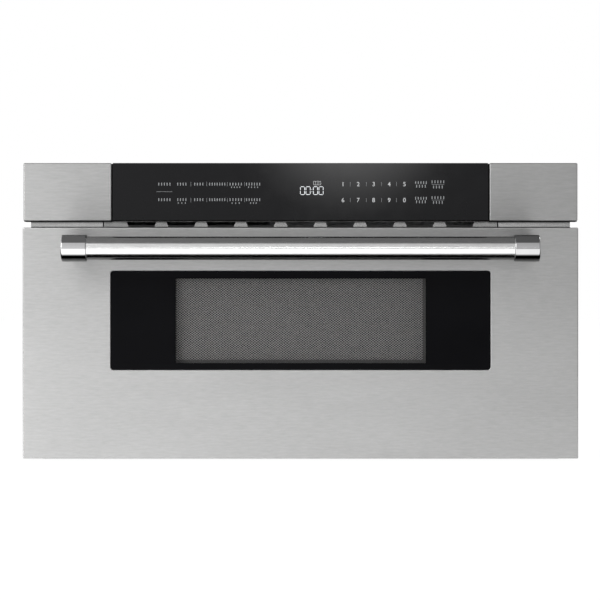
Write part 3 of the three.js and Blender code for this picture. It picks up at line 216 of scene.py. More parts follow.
def piece(name, parts, body, slot, finish=None, replaces=(), sharp=35, recalculate=True):
    """Joins grids into one mesh at the origin, in the finish of its slot or one of its own,
    and puts it on its body. Its normals are recalculated, or left as the grids have them.
    Edges turning more than the sharp angle stay crisp."""
    mesh = bpy.data.meshes.new(name)
    vertices, faces, shift = [], [], 0
    for points, polygons in parts:
        vertices.append(points)
        faces += [[corner + shift for corner in polygon] for polygon in polygons]
        shift += len(points)
    mesh.from_pydata(np.concatenate(vertices).tolist(), [], faces)
    if recalculate:
        work = bmesh.new()
        work.from_mesh(mesh)
        bmesh.ops.remove_doubles(work, verts=work.verts, dist=MERGE_DISTANCE)
        bmesh.ops.recalc_face_normals(work, faces=work.faces)
        work.to_mesh(mesh)
        work.free()
    mesh.shade_smooth()
    mesh.set_sharp_from_angle(angle=math.radians(sharp))
    obj = bpy.data.objects.new(name, mesh)
    bpy.context.scene.collection.objects.link(obj)
    flat_faces_win = obj.modifiers.new("weighted_normals", "WEIGHTED_NORMAL")
    flat_faces_win.keep_sharp = True
    obj.data.materials.append(FINISHES[finish or slot])
    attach(obj, body)
    if replaces:
        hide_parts(*replaces)


# ---------------------------------------------------------------- finishes

FINISHES = {}
RANGE_SOCKETS = ("From Min", "From Max", "To Min", "To Max")


class Finish:
    """A Principled material and short calls that add its texture nodes, on Object
    coordinates in metres."""

    def __init__(self, name, colour, metallic=0.0, roughness=0.5, gloss=0.5, **sockets):
        self.material = bpy.data.materials.new(name)
        self.material.use_nodes = True
        self.nodes = self.material.node_tree.nodes
        self.links = self.material.node_tree.links
        self.shader = self.nodes["Principled BSDF"]
        self.colour = colour
        self.place = self.add("ShaderNodeTexCoord")
        sockets |= {"Base Color": (*colour, 1.0), "Metallic": metallic, "Roughness": roughness,
                    "Specular IOR Level": gloss}
        for socket, value in sockets.items():
            self.shader.inputs[socket].default_value = value

    def add(self, kind, **values):
        """A new node with its settings."""
        node = self.nodes.new(kind)
        for key, value in values.items():
            setattr(node, key, value)
        return node

    def wire(self, output, socket):
        """Leads a value to a socket of the shader."""
        self.links.new(output, self.shader.inputs[socket])

    def stretched(self, scale):
        """Object coordinates times a scale, or times one for each axis."""
        mapping = self.add("ShaderNodeMapping")
        mapping.inputs["Scale"].default_value = (scale,) * 3 if isinstance(scale, float) else scale
        self.links.new(self.place.outputs["Object"], mapping.inputs["Vector"])
        return mapping.outputs["Vector"]

    def noise(self, scale, detail=3.0, roughness=0.6):
        """Fractal noise from 0 to 1, with so many cycles a metre along each axis."""
        node = self.add("ShaderNodeTexNoise")
        for socket, value in (("Scale", 1.0), ("Detail", detail), ("Roughness", roughness)):
            node.inputs[socket].default_value = value
        self.links.new(self.stretched(scale), node.inputs["Vector"])
        return node.outputs["Fac"]

    def spread(self, value, low, high, start=0.3, end=0.7):
        """A value between start and end, carried to low and high."""
        node = self.add("ShaderNodeMapRange")
        for socket, number in zip(RANGE_SOCKETS, (start, end, low, high)):
            node.inputs[socket].default_value = number
        self.links.new(value, node.inputs["Value"])
        return node.outputs["Result"]

    def blend(self, value, dark, light):
        """Colours from dark to light, times the finish's own colour."""
        node = self.add("ShaderNodeMix", data_type="RGBA")
        colour_a, colour_b = [s for s in node.inputs if s.type == "RGBA"]
        colour_a.default_value = (*[c * dark for c in self.colour], 1.0)
        colour_b.default_value = (*[min(c * light, 1.0) for c in self.colour], 1.0)
        self.links.new(value, node.inputs["Factor"])
        return next(s for s in node.outputs if s.type == "RGBA")

    def painted_fold_light(self, colour, folds):
        """A colour times a value for each kind of fold, by how far its normal points upward: painted shade
        on the lower folds and the top faces, and a painted highlight on the upper folds.
        """
        facing = self.add("ShaderNodeSeparateXYZ")
        self.links.new(self.add("ShaderNodeNewGeometry").outputs["True Normal"], facing.inputs[0])
        for times, (start, end) in zip(folds, (UNDER_FOLD, UPPER_FOLD, TOP_FACE)):
            amount = self.spread(facing.outputs["Z"], 1.0, times, start, end)
            scaled = self.add("ShaderNodeVectorMath", operation="SCALE")
            self.links.new(colour, scaled.inputs[0])
            self.links.new(amount, scaled.inputs["Scale"])
            colour = scaled.outputs["Vector"]
        return colour

    def tint(self, value, dark, light, start=0.3, end=0.7):
        """Its colour, from dark to light with a value."""
        self.wire(self.blend(self.spread(value, 0.0, 1.0, start, end), dark, light), "Base Color")

    def polish(self, value, low, high):
        """Its roughness, from low to high with a value."""
        self.wire(self.spread(value, low, high), "Roughness")

    def relief(self, value, height):
        """Bumps as high as the height in metres."""
        bump = self.add("ShaderNodeBump")
        bump.inputs["Strength"].default_value = 1.0
        bump.inputs["Distance"].default_value = height
        self.links.new(value, bump.inputs["Height"])
        self.wire(bump.outputs["Normal"], "Normal")


# Upward part of the normal where a fold's painted light starts and where it is full: painted shade under
# the lower folds, a painted highlight on the upper folds, painted shade on the top faces
UNDER_FOLD = (-0.1, -0.5)
UPPER_FOLD = (0.1, 0.5)
TOP_FACE = (0.6, 0.9)
# Cycles a metre of the brushing in the colour, in the relief and in the polish
GRAIN = (55.0, 420.0, 420.0)
FINE_GRAIN = (35.0, 2200.0, 2200.0)
CLOUDS = (5.0, 30.0, 30.0)


def brushed_steel(name, colour, low, high, height, spread, folds=None):
    """Sheet steel brushed along X: short lines along X in the colour and the relief, a slow cloudiness in
    the polish, and a highlight drawn out across the lines, so upward. Its colour may be multiplied by a
    value on its lower folds, upper folds and top faces: painted shade on the lower folds and top faces, and
    a painted highlight on the upper folds."""
    finish = Finish(name, colour, 1.0, Anisotropic=spread)
    upward = finish.add("ShaderNodeCombineXYZ")
    upward.inputs["Z"].default_value = 1.0
    finish.wire(upward.outputs["Vector"], "Tangent")
    grain = finish.blend(finish.spread(finish.noise(GRAIN, 4.0, 0.75), 0.0, 1.0), 0.90, 1.06)
    finish.wire(finish.painted_fold_light(grain, folds) if folds else grain, "Base Color")
    finish.polish(finish.noise(CLOUDS, 2.0), low, high)
    finish.relief(finish.noise(FINE_GRAIN, 3.0, 0.7), height)
    return finish.material


def polished_chrome(name, colour):
    """Bright plating with a faint change of polish."""
    finish = Finish(name, colour, 1.0)
    finish.tint(finish.noise(40.0), 0.98, 1.02)
    finish.polish(finish.noise(220.0), 0.04, 0.10)
    return finish.material


def galvanised_sheet(name, colour):
    """Zinc spangle: flat crystals about 8 mm across, each a little brighter or duller."""
    finish = Finish(name, colour, 0.85)
    crystals = finish.add("ShaderNodeTexVoronoi")
    crystals.inputs["Scale"].default_value = 1.0
    finish.links.new(finish.stretched(120.0), crystals.inputs["Vector"])
    grey = finish.add("ShaderNodeSeparateColor")
    finish.links.new(crystals.outputs["Color"], grey.inputs["Color"])
    finish.tint(grey.outputs["Red"], 0.90, 1.05, 0.0, 1.0)
    finish.polish(grey.outputs["Green"], 0.42, 0.55)
    finish.relief(crystals.outputs["Distance"], 0.006 * MM)
    return finish.material


def plain(name, colour, metallic, low, high, grain, height=0.0, dark=0.94, light=1.05, gloss=0.5):
    """A cast, pressed, painted or moulded finish: fine grain in its colour and polish, and in
    its relief where it has any."""
    finish = Finish(name, colour, metallic, gloss=gloss)
    finish.tint(finish.noise(grain / 8), dark, light)
    finish.polish(finish.noise(grain), low, high)
    if height:
        finish.relief(finish.noise(grain, 4.0), height)
    return finish.material


def laminations(name, colour):
    """A stack of iron sheets: dark lines across X every 0.5 mm or so."""
    finish = Finish(name, colour, 0.7)
    lines = finish.noise((2000.0, 6.0, 6.0), 2.0)
    finish.tint(lines, 0.6, 1.25)
    finish.polish(lines, 0.4, 0.7)
    finish.relief(lines, 0.1 * MM)
    return finish.material


def window_pane(name, colour, alpha, gloss):
    """Dark glass that lets some light through, as one plain alpha, with a faint film."""
    finish = Finish(name, colour, gloss=gloss, Alpha=alpha)
    finish.polish(finish.noise(30.0), 0.02, 0.05)
    return finish.material


def glass_sheet(name, colour, gloss):
    """Black glass: a dark body under a gloss, with a faint film in the polish."""
    finish = Finish(name, colour, gloss=gloss)
    finish.tint(finish.noise(12.0), 0.9, 1.1)
    finish.polish(finish.noise(45.0), 0.03, 0.07)
    return finish.material


def glowing_marks(name, colour, glow):
    """Printed or lit marks that stay readable on black glass by the light they give out; on the printed
    marks and digits this light is a painted glow.
    """
    finish = Finish(name, colour, roughness=0.6, **{"Emission Color": (*colour, 1.0),
                                                    "Emission Strength": glow})
    finish.tint(finish.noise(900.0), 0.93, 1.04)
    return finish.material


STEEL_CLOUDS = 0.04  # how much rougher the sheet steel is where it is cloudy
STEEL_RELIEF = 0.008 * MM
# Colour, metallic, least and most roughness, grain in cycles a metre, height of the relief,
# darkest and lightest tint, and gloss
PLAIN_FINISHES = {
    "louvre_paint": ((0.10, 0.10, 0.10), 0.0, 0.5, 0.65, 1200.0, 0.02 * MM),
    "zinc_plated_steel": ((0.55, 0.56, 0.57), 0.9, 0.25, 0.42, 260.0, 0.02 * MM),
    # The enamel's colour is partly its own grey and partly painted shade: dark enough that the closed
    # drawer's inside looks dark through the screen's holes
    "enamelled_steel": ((0.100, 0.103, 0.108), 0.0, 0.16, 0.30, 900.0, 0.01 * MM, 0.85, 1.2),
    "black_plastic": ((0.011, 0.011, 0.012), 0.0, 0.42, 0.60, 1400.0, 0.04 * MM, 0.8, 1.25),
    # The ceramic's colour too is partly its own and partly painted shade, for the same dark inside
    "ceramic": ((0.56, 0.56, 0.545), 0.0, 0.14, 0.28, 500.0, 0.006 * MM),
    "nylon": ((0.70, 0.68, 0.62), 0.0, 0.38, 0.55, 700.0, 0.02 * MM),
    "mica": ((0.58, 0.53, 0.43), 0.0, 0.45, 0.65, 240.0, 0.03 * MM, 0.8, 1.15),
    "circuit_board": ((0.020, 0.085, 0.040), 0.0, 0.30, 0.45, 420.0, 0.02 * MM, 0.7, 1.3),
    "aluminium": ((0.62, 0.63, 0.64), 0.95, 0.28, 0.42, 320.0, 0.02 * MM),
    "window_print": ((0.003, 0.003, 0.003), 0.0, 0.5, 0.6, 900.0, 0.0, 0.94, 1.05, 0.03),
    "rubber": ((0.012, 0.012, 0.012), 0.0, 0.6, 0.75, 1200.0, 0.03 * MM, 0.94, 1.05, 0.2),
}
OWN_FINISH = {"front_frame": "frame_steel", "vent_grille": "grille_steel"}


def make_finishes():
    """One material for each slot of the record, and one for each finish of a piece alone."""
    looks = bpy.context.scene.drawer_finish
    brushing = (looks.steel_polish, looks.steel_polish + STEEL_CLOUDS, STEEL_RELIEF, looks.steel_spread)
    # Painted light on the drawer front's folds: painted shade on its lower folds and top faces, a painted
    # highlight on its upper folds
    folds = (looks.painted_fold_shade, looks.painted_fold_highlight, looks.painted_top_shade)
    recipes = (
        (brushed_steel, "stainless_steel", looks.steel, *brushing, folds),
        (brushed_steel, "panel_steel", looks.panel, *brushing),
        (brushed_steel, "frame_steel", looks.frame, 0.14, 0.20, 0.002 * MM, 0.0),
        (brushed_steel, "grille_steel", looks.grille, 0.20, 0.28, 0.002 * MM, 0.0),
        (brushed_steel, "handle_steel", looks.handle, 0.16, 0.22, 0.003 * MM, 0.0),
        (polished_chrome, "chrome", looks.chrome),
        (galvanised_sheet, "galvanised_steel", (0.50, 0.51, 0.52)),
        (laminations, "laminated_iron", (0.10, 0.09, 0.08)),
        (glass_sheet, "black_glass", looks.glass, looks.control_gloss),
        (glass_sheet, "window_border", looks.glass, looks.border_gloss),
        (window_pane, "window_glass", looks.glass, looks.window_alpha, looks.window_gloss),
        (plain, "screen", looks.screen, 0.9, 0.40, 0.5, 700.0, 0.01 * MM, 0.97, 1.02),
        (plain, "screen_border", looks.screen_border, 0.6, 0.40, 0.5, 700.0, 0.01 * MM, 0.97, 1.02),
        (glowing_marks, "marks", looks.marks, looks.painted_mark_glow),
        (glowing_marks, "digits", looks.digits, looks.painted_mark_glow),
        (glowing_marks, "clock", looks.clock, looks.clock_glow),
        *((plain, name, *values) for name, values in PLAIN_FINISHES.items()),
    )
    for make, name, *values in recipes:
        FINISHES[name] = make(name, *values)


def dress_parts():
    """Gives each fixed part the finish of its slot in the record, and two their own."""
    for part in frame["record"]["subparts"]:
        mesh = frame["nodes"][part["node"]].data
        mesh.materials.clear()
        mesh.materials.append(FINISHES[OWN_FINISH.get(part["node"], part["material_slot"])])


# ---------------------------------------------------------------- pieces

LIP_INSET = 1.2  # return lip inside the front's outline, in thicknesses of the sheet


def folded_skin(front, back, half_x, half_z, corner, centre, looks, opening=None):
    """A folded sheet box, open at the back, as one closed wall: the outline of its section is
    carried round the front's rounded rectangle. The section runs over the face, round the
    bend, back along the side and in again one sheet thinner."""
    sheet, bend, lip = looks.sheet, looks.bend, looks.lip
    outer = arc((bend, front + bend), bend, 270, 180, 6)
    inner_bend = max(bend - sheet, SMALLEST_RADIUS)
    inner = arc((sheet + inner_bend, front + sheet + inner_bend), inner_bend, 180, 270, 4)
    section = np.concatenate([outer, [(0.0, back), (sheet, back)], inner])
    rings = carried(section, half_x, half_z, corner, centre)
    if opening is None:
        return woven(rings, caps=(True, True))
    *outline, depth = opening
    rim = [(0.0, front + depth), *arc((-lip, front + lip), lip, 0, -90, 4)]
    behind = [(-lip - sheet, front + sheet), (-sheet, front + sheet + lip), (-sheet, front + depth)]
    return woven(np.concatenate([carried(rim, *outline), rings, carried(behind, *outline)]), loop=True)


def build_drawer_front(looks):
    """The drawer front's skin, with a turned-in rim round the window."""
    half_x, half_z, centre = seen_ahead((FRONT_LOW, FRONT_HIGH))
    glass_x, glass_z, glass_centre = seen_ahead((GLASS_LOW, GLASS_HIGH))
    gap = looks.window_gap
    window = (glass_x + gap, glass_z + gap, looks.window_corner + gap, glass_centre, looks.rim_depth)
    skin = folded_skin(FRONT_LOW.y, FRONT_HIGH.y, half_x, half_z, looks.corner, centre, looks, window)
    inset = looks.sheet * LIP_INSET
    lip = plate_ring(half_x - inset, half_z - inset, looks.return_lip, looks.corner, centre,
                     FRONT_HIGH.y - looks.sheet, FRONT_HIGH.y)
    piece("drawer_front_skin", [skin, lip], "drawer", "stainless_steel", replaces=("drawer_front_panel",))


def build_window(looks, view):
    """The window glass: its clear middle, the black glass border round it with a rounded front
    edge, and the black print behind the border. The border's section is carried round the
    glass's outline and closed by the clear part's rounded rectangle."""
    *glass, middle = seen_ahead((GLASS_LOW, GLASS_HIGH))
    glass.append(looks.window_corner)
    view_x, view_z, view_middle = view
    view_corner, seam = looks.view_corner, looks.view_seam
    front, back, edge = GLASS_LOW.y, GLASS_HIGH.y, looks.glass_edge
    clear = plate(view_x, view_z, view_corner, front, back, view_middle)
    piece("window_pane", [clear], "drawer", "window_glass", replaces=("window_glass",))

    outer = carried([(0.0, back), *arc((edge, front + edge), edge, 180, 270, 4)], *glass, middle)
    inner = rounded_rings(view_x + seam, view_z + seam, view_corner + seam, [front, back], view_middle)
    border = woven(np.concatenate([outer, inner]), loop=True)
    piece("window_border_glass", [border], "drawer", "black_glass", "window_border")

    depths = [back + looks.print_gap, back + looks.print_gap + looks.print_depth]
    outer = rounded_rings(*glass, depths, middle)
    inner = rounded_rings(view_x, view_z, view_corner, depths[::-1], view_middle)
    printed = woven(np.concatenate([outer, inner]), loop=True)
    piece("window_border_print", [printed], "drawer", "black_glass", "window_print")


def screen_view(looks):
    """Half width, half height and middle of the screen that shows through the window."""
    left, right = photo_x(looks.view_left), photo_x(looks.view_right)
    bottom, top = photo_z(looks.view_bottom), photo_z(looks.view_top)
    return (right - left) / 2, (top - bottom) / 2, ((left + right) / 2, (bottom + top) / 2)


BORDER_CORNER = 2 * MM
FIELD_CORNER = 0.5 * MM
SIDES = 6  # of a cell and of its hole


def build_screen(looks):
    """The perforated screen: hexagonal cells in staggered columns, each with a round hole of
    six sides, as front, wall and back, so that neighbours share their corners; and its plain
    border. Column k lies at k * half the width of the repeat, and every other column is
    raised by half its height, where its first cell would lie behind the border and is left
    out. The sheet's outer edge is open, between the border's faces."""
    wide, tall, lap = looks.repeat_x / 2, looks.repeat_z, looks.border_lap
    half_x, half_z, (middle_x, middle_z) = screen_view(looks)
    left = middle_x - half_x - lap
    top = middle_z + half_z + lap + tall / 2
    columns = int((2 * half_x + lap - looks.border_right) / wide)
    rows = int((top - (middle_z - half_z) - looks.border_bottom) / tall)
    column, row = np.meshgrid(np.arange(columns), np.arange(rows), indexing="ij")
    shown = (row > 0) | (column % 2 == 0)
    column, row = column[shown], row[shown]
    x = left + (column + 0.5) * wide
    z = top - (row + 0.75 - 0.5 * (column % 2)) * tall
    corner_x = np.array([2, 1, -1, -2, -1, 1]) * wide / 3
    corner_z = np.array([0, 1, 1, 0, -1, -1]) * tall / 2
    turn = np.arange(SIDES) * 2 * np.pi / SIDES
    hole_x, hole_z = looks.hole / 2 * np.cos(turn), looks.hole / 2 * np.sin(turn)
    front, back = SCREEN_LOW.y + looks.sheet_inset, SCREEN_HIGH.y - looks.sheet_inset
    rings = ((corner_x, corner_z, front), (hole_x, hole_z, front), (hole_x, hole_z, back),
             (corner_x, corner_z, back))
    points = np.stack([
        np.stack([x[:, None] + ring_x, np.full((len(x), SIDES), depth), z[:, None] + ring_z], 2)
        for ring_x, ring_z, depth in rings
    ], 1).reshape(-1, 3)
    step, ring = np.arange(SIDES), np.arange(len(rings) - 1)[:, None] * SIDES
    here, following = ring + step, ring + (step + 1) % SIDES
    quads = np.stack([here, following, following + SIDES, here + SIDES], 2).reshape(-1, 4)
    first = np.arange(len(x))[:, None, None] * len(rings) * SIDES
    sheet = (points, (first + quads[None]).reshape(-1, 4).tolist())
    piece("perforated_screen", [sheet], "drawer", "enamelled_steel", "screen", ("drawer_screen",))

    field_x, field_z = columns * wide / 2, (rows - 0.5) * tall / 2
    *outline, middle = seen_ahead((SCREEN_LOW, SCREEN_HIGH))
    depths = [SCREEN_LOW.y, SCREEN_HIGH.y]
    outer = rounded_rings(*outline, BORDER_CORNER, depths, middle)
    field = (left + field_x, top - field_z - tall / 2)
    inner = rounded_rings(field_x - lap, field_z - lap, FIELD_CORNER, depths[::-1], field)
    border = woven(np.concatenate([outer, inner]), loop=True)
    piece("screen_border", [border], "drawer", "enamelled_steel", "screen_border")


BAR_SIDES = 128
CAP_SIDES = 96
POST_SIDES = 80


def build_handle(looks):
    """The bar is a revolved profile with a rounded lip at each end. A cap is another, hollow
    where the bar goes in, with both its edges rounded, and its post and foot are revolved
    about the post's axis."""
    bar_radius = (BAR_HIGH.z - BAR_LOW.z) / 2
    axis = ((BAR_LOW.y + BAR_HIGH.y) / 2, (BAR_LOW.z + BAR_HIGH.z) / 2)
    end, lip = BAR_HIGH.x, looks.bar_lip
    left = arc((-end + lip, bar_radius - lip), lip, 180, 90)
    right = arc((end - lip, bar_radius - lip), lip, 90, 0)
    profile = np.concatenate([[(-end, 0.0)], left, right, [(end, 0.0)]])
    tube = woven(revolved(profile, "X", (0.0, *axis), BAR_SIDES))
    piece("handle_bar_tube", [tube], "drawer", "handle_steel", replaces=("handle_bar",), sharp=50)

    radius, mouth, tip, edge = looks.cap_radius, looks.cap_mouth, looks.cap_tip, looks.foot_edge
    bore, socket = bar_radius + looks.cap_gap, end + looks.cap_gap
    post_radius, foot_radius = looks.post_diameter / 2, looks.foot_diameter / 2
    for side, name in ((-1, "handle_post_left"), (1, "handle_post_right")):
        low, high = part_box(name)
        post_x = (low.x + high.x) / 2
        inner = abs(post_x) - looks.cap_inboard
        outer = inner + looks.cap_length
        foot_front = high.y - looks.foot_thickness
        cap = np.concatenate([
            [(socket, 0.0), (socket, bore), (inner + mouth, bore)],
            arc((inner + mouth, bore + mouth), mouth, 270, 180),
            arc((inner + mouth, radius - mouth), mouth, 180, 90),
            arc((outer - tip, radius - tip), tip, 90, 5, 8),
            [(outer, (radius - tip) / 2), (outer, 0.0)],
        ])
        cap[:, 0] *= side
        post = np.concatenate([
            [(axis[0], 0.0), (axis[0], post_radius)],
            arc((foot_front - edge, post_radius + edge), edge, 270, 360, 4),
            arc((foot_front + edge, foot_radius - edge), edge, 180, 90, 4),
            [(high.y, foot_radius), (high.y, 0.0)],
        ])
        parts = [woven(revolved(cap, "X", (0.0, *axis), CAP_SIDES)),
                 woven(revolved(post, "Y", (post_x, 0.0, axis[1]), POST_SIDES))]
        piece(f"{name}_cap", parts, "drawer", "chrome", replaces=(name,), sharp=40)


def build_end_panels(looks):
    """The two steel panels beside the control glass: folded boxes, open at the back."""
    for name in ("left_end_panel", "right_end_panel"):
        low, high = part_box(name)
        half_x, half_z, middle = seen_ahead((low, high))
        skin = folded_skin(low.y, high.y, half_x, half_z, looks.panel_corner, middle, looks)
        piece(f"{name}_skin", [skin], "chassis", "stainless_steel", "panel_steel", (name,))


JOINT_FOOT = 4  # joint's lower end below the drawer front's top, in insets of the seals
EDGE_STANDS = 1.6  # bright edge ahead of the frame, in widths of the joint


def build_seals(looks):
    """Thin dark strips: under each end panel a strip of painted shade, where the panel's underside lies in
    shadow; rubber in the gap beside the control glass, along the glass's foot and along the drawer's top
    edge; the grille's ends, each a dark joint with a bright cut edge; its upper flange; and the dark lip
    below each vent."""
    grille_low, grille_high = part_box("vent_grille")
    frame_low, frame_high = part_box("front_frame")
    inset, seal = looks.seal_inset, looks.seal
    glass, face = ROW_HIGH.x, frame_low.y
    joint = grille_high.x + looks.joint
    fixed, edges = [], []
    for side, name in ((-1, "left_end_panel"), (1, "right_end_panel")):
        low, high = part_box(name)
        inner, outer = sorted((abs(low.x), abs(high.x)))
        rise = (FRONT_HIGH.z - JOINT_FOOT * inset, low.z - seal)
        for group, start, end, y, z in (
            # Under the panel: a dark strip of painted shade, where the panel's underside lies in shadow
            (fixed, inner + inset, outer - inset, (low.y + inset, high.y), (low.z - seal, low.z)),
            (fixed, glass - inset, inner + inset, (ROW_HIGH.y, high.y), (low.z, high.z - inset)),
            (fixed, grille_high.x, joint, (face - looks.joint, face), rise),
            (edges, joint, joint + looks.cut_edge, (face - EDGE_STANDS * looks.joint, face), rise),
        ):
            group.append(bar(sorted((side * start, side * end)), y, z))
    piece("panel_shade_strips_and_seals", fixed, "chassis", "black_plastic", "rubber")

    foot_low = ROW_LOW.z - looks.foot_drop
    foot = bar((inset - glass, glass - inset), (ROW_LOW.y - looks.foot_proud, ROW_LOW.y),
               (foot_low, foot_low + looks.glass_foot), looks.foot_proud / 2)
    piece("glass_foot_strip", [foot], "chassis", "black_plastic", "window_print")

    face = grille_low.y
    middles = (np.arange(looks.vents) - (looks.vents - 1) / 2) * looks.vent_pitch
    louvres = [bar((middle - looks.louvre / 2, middle + looks.louvre / 2), (face - seal, face),
                   (looks.louvre_low, looks.louvre_low + looks.louvre_rise)) for middle in middles]
    piece("vent_louvres", louvres, "chassis", "black_plastic", "louvre_paint")

    flange = bar((-glass, glass), (face - 2 * seal, face), (ROW_LOW.z - looks.flange, ROW_LOW.z))
    piece("grille_flange", [flange], "chassis", "stainless_steel", "panel_steel")
    piece("grille_end_edges", edges, "chassis", "stainless_steel", "chrome")

    behind, door_top = FRONT_HIGH.y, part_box("inner_door_panel")[1].z
    top_seal = bar((-frame_high.x, frame_high.x), (behind, behind + seal),
                   (door_top + seal, FRONT_HIGH.z + looks.seal_rise))
    piece("drawer_top_seal", [top_seal], "drawer", "black_plastic", "rubber")


def build_control_glass(looks):
    """The control glass, a slab with a ground front edge."""
    half_x, half_z, middle = seen_ahead((ROW_LOW, ROW_HIGH))
    slab = plate(half_x, half_z, looks.glass_corner, ROW_LOW.y, ROW_HIGH.y, middle, looks.glass_edge / 2)
    piece("control_glass_slab", [slab], "chassis", "black_glass", replaces=("control_glass",))


# Marks on the control glass, by pixel columns and rows of the photograph: rows of plain
# ticks for the keys' names, thin lines between the keys, and digits.
TICK_RISE = 2.8
TICK_PITCH = 2.3
TICK_WIDTH = 0.85
LINE_RISE = 0.28
NAME_COLUMNS = (
    (158.0, 170.0), (177.0, 186.0), (194.0, 203.0), (209.0, 225.0), (229.5, 241.6), (246.0, 260.0),
)
NAME_ROWS = (183.8, 199.4)
RIGHT_NAMES = (
    (415.5, 427.0, 182.3), (416.5, 426.0, 185.9), (415.5, 427.0, 198.0), (416.5, 426.0, 201.5),
    (432.0, 444.5, 181.5), (433.5, 443.0, 186.7), (432.0, 444.5, 197.4), (433.5, 443.0, 202.2),
)
SMALL_NAMES = (
    (231.0, 240.0, 186.9), (248.0, 258.0, 186.9),
    (177.5, 185.5, 202.8), (231.5, 239.5, 202.8), (250.0, 256.5, 202.8),
)
LEVEL_LINES = ((156.0, 172.0, 191.4), (432.0, 444.5, 184.2), (432.0, 444.5, 199.8))
KEY_EDGES = (190.6, 206.5, 227.2, 244.5, 350.4, 366.5, 381.7, 396.7)
KEY_ROWS = (183.8, 199.8)
DIGIT_COLUMNS = (343.1, 358.4, 373.8, 389.4, 404.7)
DIGIT_PIXELS = 4.2
DIGIT_RISE = 0.7  # height of a digit over the size of its type
DIGIT_WEIGHT = 0.06 * MM
PRINT = 0.06 * MM  # thickness of a printed mark
CLOCK_LEFT, CLOCK_RIGHT = 300.4, 323.4
CLOCK_TOP, CLOCK_BOTTOM = 186.4, 194.3
CLOCK_STROKE = 0.58
# The clock's width, each digit's left edge, a digit's width and the colon, all in cells
CLOCK_CELLS = 4.6
CLOCK_STARTS = (0.0, 1.12, 2.6, 3.72)
CLOCK_DIGIT = 0.85
CLOCK_COLON = 2.3
COLON_INSET = 2.8  # colon's dots inside the clock's height
SEGMENT_GAP = 0.8  # a segment's end short of its neighbour's middle, in strokes
ICON = (313.6, 320.8, 181.0, 184.6)
ICON_STROKE = 0.3
ICON_TICKS = 5


def lettering(text, height, centre, depth):
    """A digit or mark as a flat mesh, with its middle at a place in the XZ plane."""
    curve = bpy.data.curves.new("mark", "FONT")
    curve.body = text
    curve.size = height / DIGIT_RISE
    curve.extrude = PRINT / 2
    curve.offset = DIGIT_WEIGHT
    holder = bpy.data.objects.new("mark", curve)
    bpy.context.scene.collection.objects.link(holder)
    depsgraph = bpy.context.evaluated_depsgraph_get()
    mesh = bpy.data.meshes.new_from_object(holder.evaluated_get(depsgraph))
    points = np.zeros(len(mesh.vertices) * 3)
    mesh.vertices.foreach_get("co", points)
    x, z, lift = points.reshape(-1, 3).T
    x += centre[0] - (x.min() + x.max()) / 2
    z += centre[1] - (z.min() + z.max()) / 2
    faces = [list(polygon.vertices) for polygon in mesh.polygons]
    bpy.data.objects.remove(holder)
    bpy.data.curves.remove(curve)
    bpy.data.meshes.remove(mesh)
    return np.stack([x, depth - lift, z], 1), faces


def printed_bar(left, right, row, rise, depth):
    """A printed bar, in pixels of the photograph, on the control glass."""
    half = rise / 2
    return block((photo_x(left), depth - PRINT, photo_z(row + half)),
                 (photo_x(right), depth, photo_z(row - half)))


def upright(column, width, row, rise, depth):
    """A printed bar about a column of the photograph."""
    return printed_bar(column - width / 2, column + width / 2, row, rise, depth)


def ticks(left, right, row, rise, depth):
    """A row of short upright bars in place of a word, as many as fit at their pitch."""
    count = max(2, round((right - left) / TICK_PITCH))
    starts = np.linspace(left, right - TICK_WIDTH, count)
    return [printed_bar(start, start + TICK_WIDTH, row, rise, depth) for start in starts]


def seven_segment_zero(left, right, depth):
    """The six outer strokes of a seven-segment digit between two columns."""
    stroke = CLOCK_STROKE
    gap = SEGMENT_GAP * stroke
    middle = (CLOCK_TOP + CLOCK_BOTTOM) / 2
    bars = []
    for top, bottom in ((CLOCK_TOP, middle), (middle, CLOCK_BOTTOM)):
        for column in (left, right):
            bars.append(upright(column, stroke, (top + bottom) / 2, bottom - top - 2 * gap, depth))
    for row in (CLOCK_TOP, CLOCK_BOTTOM):
        bars.append(printed_bar(left + gap, right - gap, row, stroke, depth))
    return bars


def build_marks(looks):
    """Ticks and lines printed on the glass, brighter digits, and the clock's four zeros with a
    small box of ticks above them."""
    face = ROW_LOW.y - looks.print_lift
    names = [(*columns, row) for columns in NAME_COLUMNS for row in NAME_ROWS]
    marks = [tick for name in (*names, *RIGHT_NAMES) for tick in ticks(*name, TICK_RISE, face)]
    marks += [tick for name in SMALL_NAMES for tick in ticks(*name, TICK_RISE / 2, face)]
    marks += [printed_bar(*line, LINE_RISE, face) for line in LEVEL_LINES]
    for column in KEY_EDGES:
        marks += [upright(column, LINE_RISE, row, DIGIT_PIXELS, face) for row in KEY_ROWS]
    piece("control_marks", marks, "chassis", None, "marks", recalculate=False)

    digits = []
    for row, figures in zip(KEY_ROWS, ("12345", "67890")):
        for column, digit in zip(DIGIT_COLUMNS, figures):
            place = (photo_x(column), photo_z(row))
            digits.append(lettering(digit, DIGIT_PIXELS * PIXEL, place, face - PRINT / 2))
    left, right, top, bottom = ICON
    digits += [printed_bar(left, right, row, ICON_STROKE, face) for row in (top, bottom)]
    for column in np.linspace(left, right, ICON_TICKS):
        digits.append(upright(column, ICON_STROKE, (top + bottom) / 2, bottom - top, face - PRINT))
    piece("control_digits", digits, "chassis", None, "digits", recalculate=False)

    clock = []
    cell = (CLOCK_RIGHT - CLOCK_LEFT) / CLOCK_CELLS
    for start in CLOCK_STARTS:
        left = CLOCK_LEFT + start * cell
        clock += seven_segment_zero(left, left + CLOCK_DIGIT * cell, face)
    for row in (CLOCK_TOP + COLON_INSET, CLOCK_BOTTOM - COLON_INSET):
        clock.append(upright(CLOCK_LEFT + CLOCK_COLON * cell, CLOCK_STROKE, row, CLOCK_STROKE, face))
    piece("clock_digits", clock, "chassis", None, "clock", recalculate=False)


